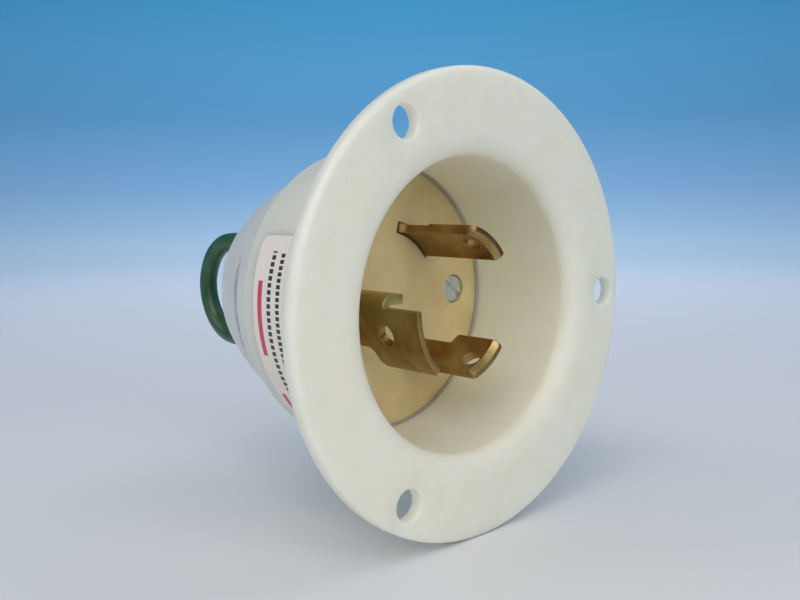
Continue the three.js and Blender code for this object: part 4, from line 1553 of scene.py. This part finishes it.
def screwBlank(headRadius, headFront, headRear, shankRadius, tip):
    # the turned blank, head towards -Y, with enough rows on the shank to carry the thread
    edge, step = screw["edge"], screw["pitch"] / screw["rows"]
    points = [(headRadius * share, headFront) for share in (0, 0.35, 0.65)]
    points += arc((headRadius - edge, headFront + edge), edge, -90, 0, 5)
    rearEdge = screw["rearEdge"]
    points += arc((headRadius - rearEdge, headRear - rearEdge), rearEdge, 0, 90, 3)
    points += [(shankRadius, headRear)]
    rows = int((tip - headRear - screw["point"]) / step)
    points += [(shankRadius, headRear + step * k) for k in range(1, rows + 1)]
    points += [(shankRadius - screw["point"], tip), (0, tip)]
    return points


def makeScrew(name, points, head, ends, place, material, turn, body, slotName, node):
    blank = grow(
        name, turning, profileMesh("screwProfile", points, False),
        **{"Facets": screw["facets"], "Guide Radius": 0.002, "Material": material},
    )
    finishShape(blank)
    headRadius, headFront = head
    piece = regrow(blank, threading, **{
        "Pitch": screw["pitch"] * mm, "Thread Depth": screw["threadDepth"] * mm,
        "Thread Start": ends[0] * mm, "Thread End": ends[1] * mm,
        "Slot Size": (headRadius * 3 * mm, screw["slotDepth"] * 2 * mm, screw["slotWidth"] * mm),
        "Slot Place": (0, headFront * mm, 0), "Slot Turn": math.radians(turn), "Material": material,
    })
    piece.data.transform(place)
    finishShape(piece, sharpAngle=40)
    settle(piece, body, slotName, node)


assemblyScrew = {
    "head": 2.4, "front": 19.5, "rear": 21.2, "shank": 1.45, "tip": 30.6, "plain": 1.6,
    "circle": 16.2, "turn": 38,
}
clampScrews = {
    "line": (53, screwBrass, "screw_brass", 20), "neutral": (-60, nickel, "nickel", -35),
    "ground": (207, greenPaint, "ground_green", 65),
}
clampScrew = {"head": 2.9, "outer": 18.0, "under": 16.4, "shank": 1.75, "tip": 10.0, "plain": 0.3, "y": 27.8}


def makeScrews():
    a = assemblyScrew
    points = screwBlank(a["head"], a["front"], a["rear"], a["shank"], a["tip"])
    for side, place in (("right", 1), ("left", -1)):
        makeScrew(
            "assemblyScrew" + side.capitalize(), points, (a["head"], a["front"]),
            (a["rear"] + a["plain"], a["tip"] - screw["runOut"]),
            Matrix.Translation((place * a["circle"] * mm, 0, 0)),
            zinc, a["turn"], "fixing_screw_" + side, "zinc_steel", "assembly_screw_" + side,
        )
    c = clampScrew
    points = screwBlank(c["head"], -c["outer"], -c["under"], c["shank"], -c["tip"])
    for pole, (angle, material, slotName, turn) in clampScrews.items():
        makeScrew(
            "clampScrew" + pole.capitalize(), points, (c["head"], -c["outer"]),
            (-c["under"] + c["plain"], -c["tip"] - screw["runOut"]), radialPlace(angle, c["y"]),
            material, turn, "screw_" + pole, slotName, "clamp_screw_" + pole,
        )


clampPlate = {
    "inner": 15.2, "outer": 16.2, "bevel": 0.12, "step": 2.5,
    "before": 10, "after": 18, "front": 24.8, "rear": 31,
}


def makeClampPlates(c):
    for pole, (angle, _, _, _) in clampScrews.items():
        start, end = angle - c["before"], angle + c["after"]
        plate = {
            **c, "holes": [(angle, clampScrew["y"], clampHole)],
            "outline": [
                (start, c["front"], 0.5), (end, c["front"], 0.5),
                (end, c["rear"], 0.5), (start, c["rear"], 0.5),
            ],
        }
        piece = bentPlate("clampPlate" + pole.capitalize(), plate, nickel)
        settle(piece, "clamp_" + pole, "nickel", "clamp_plate_" + pole)


strap = {
    "inner": 18.6, "outer": 19.2, "bevel": 0.09, "step": 2.5,
    "outline": [
        (132, 31.2, 0.5), (160.4, 31.2, 0.1), (161.4, 31.32, 0.1), (204.6, 31.32, 0.1), (205.6, 31.2, 0.1),
        (222, 31.2, 0.5), (222, 33.4, 0.5), (205.6, 33.4, 0.1), (204.6, 32.88, 0.1), (161.4, 32.88, 0.1),
        (160.4, 33.4, 0.1), (132, 33.4, 0.5),
    ],
    "holes": [(143, 32.2, 0.98)],
    "bow": {"from": 161.8, "to": 204.2, "ramp": 2.4, "rise": 1.65},
}


def makeStrap(plate):
    settle(bentPlate("groundStrap", plate, strapSteel), "root", "zinc_steel", "ground_strap")


rivet = {"angle": 143, "y": 32.2, "shank": 0.7, "head": 2.0, "under": 16.8, "top": 16.5, "tip": 19.1}


def makeRivet(r):
    # the head lies on the lug, inside the strap, and the shank goes out through both
    dome = [(0, -r["top"]), (r["head"] * 0.4, -r["top"] - 0.02)]
    dome += [(r["head"] * 0.75, -r["top"] - 0.09), (r["head"] - 0.08, -r["top"] - 0.2)]
    points = dome + [(r["head"], -r["under"] + 0.04), (r["head"], -r["under"]), (r["shank"], -r["under"])]
    points += [(r["shank"], -r["tip"] + 0.15), (r["shank"] - 0.15, -r["tip"]), (0, -r["tip"])]
    piece = grow(
        "strapRivet", turning, profileMesh("rivetProfile", points, False),
        **{"Facets": 32, "Guide Radius": 0.001, "Material": zinc},
    )
    piece.data.transform(radialPlace(r["angle"], r["y"]))
    finishShape(piece)
    settle(piece, "root", "zinc_steel", "strap_rivet")


washer = {
    "circle": 16.2, "inner": 1.7, "outer": 2.4, "front": 21.3, "rear": 21.8,
    "gap": 14, "gapAngle": 60, "rise": 0.05, "edge": 0.08, "steps": 40,
}


def makeWashers(w):
    # a spring washer: one square wire turn with its cut ends a little out of line
    for side, place in (("right", 1), ("left", -1)):
        shape = bmesh.new()
        rings = []
        low, high = w["front"] + w["rise"], w["rear"] - w["rise"]
        inner, outer, edge = w["inner"], w["outer"], w["edge"]
        for k in range(w["steps"] + 1):
            t = k / w["steps"]
            angle = w["gapAngle"] + w["gap"] / 2 + (360 - w["gap"]) * t
            lift = w["rise"] * (2 * t - 1)
            section = [
                (inner + edge, low), (outer - edge, low), (outer, low + edge), (outer, high - edge),
                (outer - edge, high), (inner + edge, high), (inner, high - edge), (inner, low + edge),
            ]
            rings.append([shape.verts.new(around(radius, angle, y + lift)) for radius, y in section])
        for ring, following in zip(rings, rings[1:]):
            for k in range(8):
                shape.faces.new((ring[k], ring[(k + 1) % 8], following[(k + 1) % 8], following[k]))
        shape.faces.new(rings[0])
        shape.faces.new(list(reversed(rings[-1])))
        mesh = bpy.data.meshes.new("lockWasher")
        shape.to_mesh(mesh)
        shape.free()
        mesh.transform(Matrix.Translation((place * w["circle"] * mm, 0, 0)))
        mesh.materials.append(zinc)
        piece = placed("lockWasher" + side.capitalize(), mesh)
        finishShape(piece)
        settle(piece, "washer_" + side, "zinc_steel", "lock_washer_" + side)


bondingWire = {
    "radius": 1.6, "sides": 28, "step": 0.4,
    "route": [
        (-11.9, 37.7, 8.97), (-11.75, 38.7, 8.93), (-11.2, 39.8, 8.8), (-10.6, 41, 8.62),
        (-10.45, 42.6, 8.6), (-10.45, 44.6, 8.6), (-10.45, 46.6, 8.6), (-10.45, 48.6, 8.55),
        (-10.45, 51, 8.2), (-10.45, 53.2, 7.2), (-10.45, 55.1, 5.6), (-10.45, 56.5, 3.4),
        (-10.45, 57.2, 1.1), (-10.45, 57.2, -1.1), (-10.45, 56.5, -3.4), (-10.45, 55.1, -5.6),
        (-10.45, 53.2, -7.2), (-10.45, 51, -8.2), (-10.45, 48.6, -8.55), (-10.45, 46.6, -8.6),
        (-10.45, 44.6, -8.6), (-10.45, 42, -8.6), (-10.5, 39.5, -8.7), (-10.65, 37, -8.8),
        (-10.69, 34.5, -8.81),
    ],
}


def makeWire(w):
    piece = grow(
        "bondingWire", sleeving, routeMesh("wireRoute", w["route"]),
        **{"Radius": w["radius"] * mm, "Sides": w["sides"], "Step": w["step"] * mm, "Material": insulation},
    )
    finishShape(piece, sharpAngle=50)
    settle(piece, "root", "wire_green", "bonding_wire")


def routeMesh(name, points):
    mesh = bpy.data.meshes.new(name)
    edges = [(i, i + 1) for i in range(len(points) - 1)]
    mesh.from_pydata([Vector(point) * mm for point in points], edges, [])
    return mesh


label = {
    "from": 153, "to": 236, "front": 8.4, "rear": 22.4, "corner": 1.5, "lift": 0.02, "thickness": 0.11,
    "columns": 60, "rows": 24, "edgeRows": (0.0, 0.15, 0.35, 0.6, 1.0),
}


def makeLabel(c):
    # paper wrapped on the skirt, with its corners rounded by drawing in the end columns
    shape = bmesh.new()
    sheetMap = shape.loops.layers.uv.new("label")
    height = c["rear"] - c["front"]
    sheets = {}
    corner = c["corner"]
    rows = list(c["edgeRows"])
    rows += [corner + (height - 2 * corner) * k / c["rows"] for k in range(c["rows"] + 1)]
    rows += [height - row for row in reversed(c["edgeRows"])]
    taperLength = housing["skirtEnd"] - housing["skirtEdge"] - housing["fillet"]
    taper = (housing["skirtRear"] - housing["skirtFront"]) / taperLength
    for sheet, lift in (("under", c["lift"]), ("top", c["lift"] + c["thickness"])):
        grid = []
        for row in rows:
            y = c["front"] + row
            skirt = housing["skirtFront"] + taper * (y - housing["fillet"])
            short = corner - min(row, height - row)
            inset = corner - math.sqrt(max(0, corner ** 2 - short ** 2)) if short > 0 else 0
            inset = math.degrees(inset / skirt)
            line = []
            for k in range(c["columns"] + 1):
                angle = c["from"] + inset + (c["to"] - c["from"] - 2 * inset) * k / c["columns"]
                line.append((shape.verts.new(around(skirt + lift, angle, y)), angle, row / height))
            grid.append(line)
        sheets[sheet] = grid
    quads = []
    for sheet, grid in sheets.items():
        for low, high in zip(grid, grid[1:]):
            quads += [(low[k], low[k + 1], high[k + 1], high[k]) for k in range(c["columns"])]
    rims = []
    for grid in (sheets["under"], sheets["top"]):
        rim = grid[0] + [line[-1] for line in grid[1:]]
        rims.append(rim + grid[-1][-2::-1] + [line[0] for line in grid[-2:0:-1]])
    count = len(rims[0])
    under, top = rims
    quads += [(under[k], under[(k + 1) % count], top[(k + 1) % count], top[k]) for k in range(count)]
    for quad in quads:
        face = shape.faces.new([corner[0] for corner in quad])
        for loop, (_, angle, up) in zip(face.loops, quad):
            loop[sheetMap].uv = ((angle - c["from"]) / (c["to"] - c["from"]), up)
    mesh = bpy.data.meshes.new("noticeLabel")
    faceOutwards(shape)
    shape.to_mesh(mesh)
    shape.free()
    mesh.materials.append(paper)
    piece = placed("noticeLabel", mesh)
    finishShape(piece, sharpAngle=40)
    settle(piece, "root", "label_paper", "notice_label")


# pieces that keep their solid from the frame get only a better finish
keptNodes = {
    "terminal_body": coreNylon, "square_nut_right": nutBrass, "square_nut_left": nutBrass,
    "ring_lug": nickel, "wire_end_at_lug": copper, "wire_end_at_clamp": copper,
}


def paintKeptNodes():
    for node, material in keptNodes.items():
        for materialSlot in nodes3d[node].material_slots:
            materialSlot.material = material


print("making the pieces")
makeHousing(housing)
makeCarrier(carrier)
makeBlades()
makeRearCover(rearCover)
makeScrews()
makeClampPlates(clampPlate)
makeStrap(strap)
makeRivet(rivet)
makeWashers(washer)
makeWire(bondingWire)
makeLabel(label)
paintKeptNodes()
print("pieces made")


def sweepMaterial(look):
    # pale paper sweep that turns blue as it climbs
    material = bpy.data.materials.new("sweep")
    material.use_nodes = True
    nodes, links = material.node_tree.nodes, material.node_tree.links
    nodes.clear()
    reach = nodes.new("ShaderNodeAttribute")
    reach.label = "way along the sweep"
    reach.attribute_name = "sweep"
    reach.location = (-700, 0)
    tone = nodes.new("ShaderNodeValToRGB")
    tone.label = "pale floor to blue wall"
    tone.location = (-450, 0)
    card = nodes.new("ShaderNodeBsdfPrincipled")
    card.label = "card"
    card.location = (-100, 0)
    output = nodes.new("ShaderNodeOutputMaterial")
    output.location = (200, 0)
    ramp = tone.color_ramp
    while len(ramp.elements) < len(look["tones"]):
        ramp.elements.new(0.5)
    # tones are screen values from 0 to 255, and the shader wants linear ones
    for element, (place, colour) in zip(ramp.elements, look["tones"]):
        element.position = place / look["length"]
        element.color = (*[(value / 255) ** 2.2 for value in colour], 1)
    card.inputs["Roughness"].default_value = look["roughness"]
    card.inputs["Specular IOR Level"].default_value = look["specular"]
    links.new(reach.outputs["Fac"], tone.inputs["Fac"])
    links.new(tone.outputs["Color"], card.inputs["Base Color"])
    links.new(card.outputs["BSDF"], output.inputs["Surface"])
    return material


sweep = {
    "flat": 0.55, "bend": 0.5, "wall": 0.45, "length": 1.8, "roughness": 0.75, "specular": 0.2, "around": 96,
    "flatSteps": 12, "bendSteps": 24,
    "tones": [
        (0.0, (226, 229, 230)), (0.08, (232, 235, 238)), (0.15, (222, 224, 232)), (0.30, (206, 212, 224)),
        (0.645, (158, 184, 205)), (0.784, (116, 154, 190)), (0.914, (81, 136, 174)), (1.014, (72, 135, 174)),
        (1.093, (58, 130, 168)), (1.8, (50, 120, 160)),
    ],
}


def makeSweep(c):
    floor = cadBox[0][2]
    reaches = [c["flat"] * k / c["flatSteps"] for k in range(c["flatSteps"] + 1)]
    line = [(reach, 0, reach) for reach in reaches]
    for k in range(1, c["bendSteps"] + 1):
        turn = math.radians(90 * k / c["bendSteps"])
        radius = c["flat"] + c["bend"] * math.sin(turn)
        line.append((radius, c["bend"] * (1 - math.cos(turn)), c["flat"] + c["bend"] * turn))
    line.append((line[-1][0], line[-1][1] + c["wall"], line[-1][2] + c["wall"]))
    shape = bmesh.new()
    way = shape.verts.layers.float.new("sweep")
    rings = []
    for radius, height, reach in line:
        ring = []
        for k in range(c["around"]):
            turn = 2 * math.pi * k / c["around"]
            ring.append(shape.verts.new((radius * math.cos(turn), radius * math.sin(turn), floor + height)))
            ring[-1][way] = reach / c["length"]
            if radius == 0:
                break
        rings.append(ring)
    for inner, outer in zip(rings, rings[1:]):
        for k in range(c["around"]):
            after = (k + 1) % c["around"]
            if len(inner) == 1:
                shape.faces.new((inner[0], outer[k], outer[after]))
            else:
                shape.faces.new((inner[k], outer[k], outer[after], inner[after]))
    mesh = bpy.data.meshes.new("studioSweep")
    shape.to_mesh(mesh)
    shape.free()
    mesh.polygons.foreach_set("use_smooth", [True] * len(mesh.polygons))
    mesh.materials.append(sweepMaterial(c))
    placed("studioSweep", mesh)


lights = {
    "key": {
        "azimuth": -62, "elevation": 46, "distance": 0.62,
        "size": 0.5, "watts": 1.35, "colour": (1, 0.97, 0.92),
    },
    "front": {
        "azimuth": -15, "elevation": 18, "distance": 0.75,
        "size": 0.7, "watts": 2.3, "colour": (1, 0.96, 0.91),
    },
    "rear": {
        "azimuth": -118, "elevation": 24, "distance": 0.7,
        "size": 0.5, "watts": 0.9, "colour": (1, 0.92, 0.80),
    },
    "side": {
        "azimuth": 60, "elevation": 40, "distance": 0.7,
        "size": 0.5, "watts": 0.6, "colour": (1, 0.98, 0.96),
    },
}
backdropLight = {
    "along": 0.42, "above": 0.6, "aimAlong": 1.0, "aimAbove": 0.22,
    "size": 0.5, "watts": 4.5, "colour": (0.95, 0.97, 1),
}
sky = {"colour": (0.85, 0.91, 1.0), "strength": 0.4}


def placeLight(name, light, place, aim):
    data = bpy.data.lights.new(name, "AREA")
    data.shape = "DISK"
    data.size = light["size"]
    data.energy = light["watts"]
    data.color = light["colour"]
    lamp = bpy.data.objects.new(name, data)
    lamp.matrix_world = Matrix.Translation(place) @ (place - aim).to_track_quat("Z", "Y").to_matrix().to_4x4()
    scene.collection.objects.link(lamp)


def makeLights():
    middle = Vector((0, 0.01, 0))
    for name, light in lights.items():
        turn, rise = math.radians(light["azimuth"]), math.radians(light["elevation"])
        towards = Vector((math.sin(turn) * math.cos(rise), -math.cos(turn) * math.cos(rise), math.sin(rise)))
        placeLight(name, light, middle + towards * light["distance"], middle)
    c = backdropLight
    turn = math.radians(camera["azimuth"])
    away = Vector((-math.sin(turn), math.cos(turn), 0))
    place = away * c["along"] + Vector((0, 0, c["above"]))
    placeLight("backdrop", c, place, away * c["aimAlong"] + Vector((0, 0, c["aimAbove"])))
    world = bpy.data.worlds.new("studio")
    world.use_nodes = True
    air = world.node_tree.nodes["Background"]
    air.inputs["Color"].default_value = (*sky["colour"], 1)
    air.inputs["Strength"].default_value = sky["strength"]
    scene.world = world


makeSweep(sweep)
makeLights()
print("sweep and lights placed")
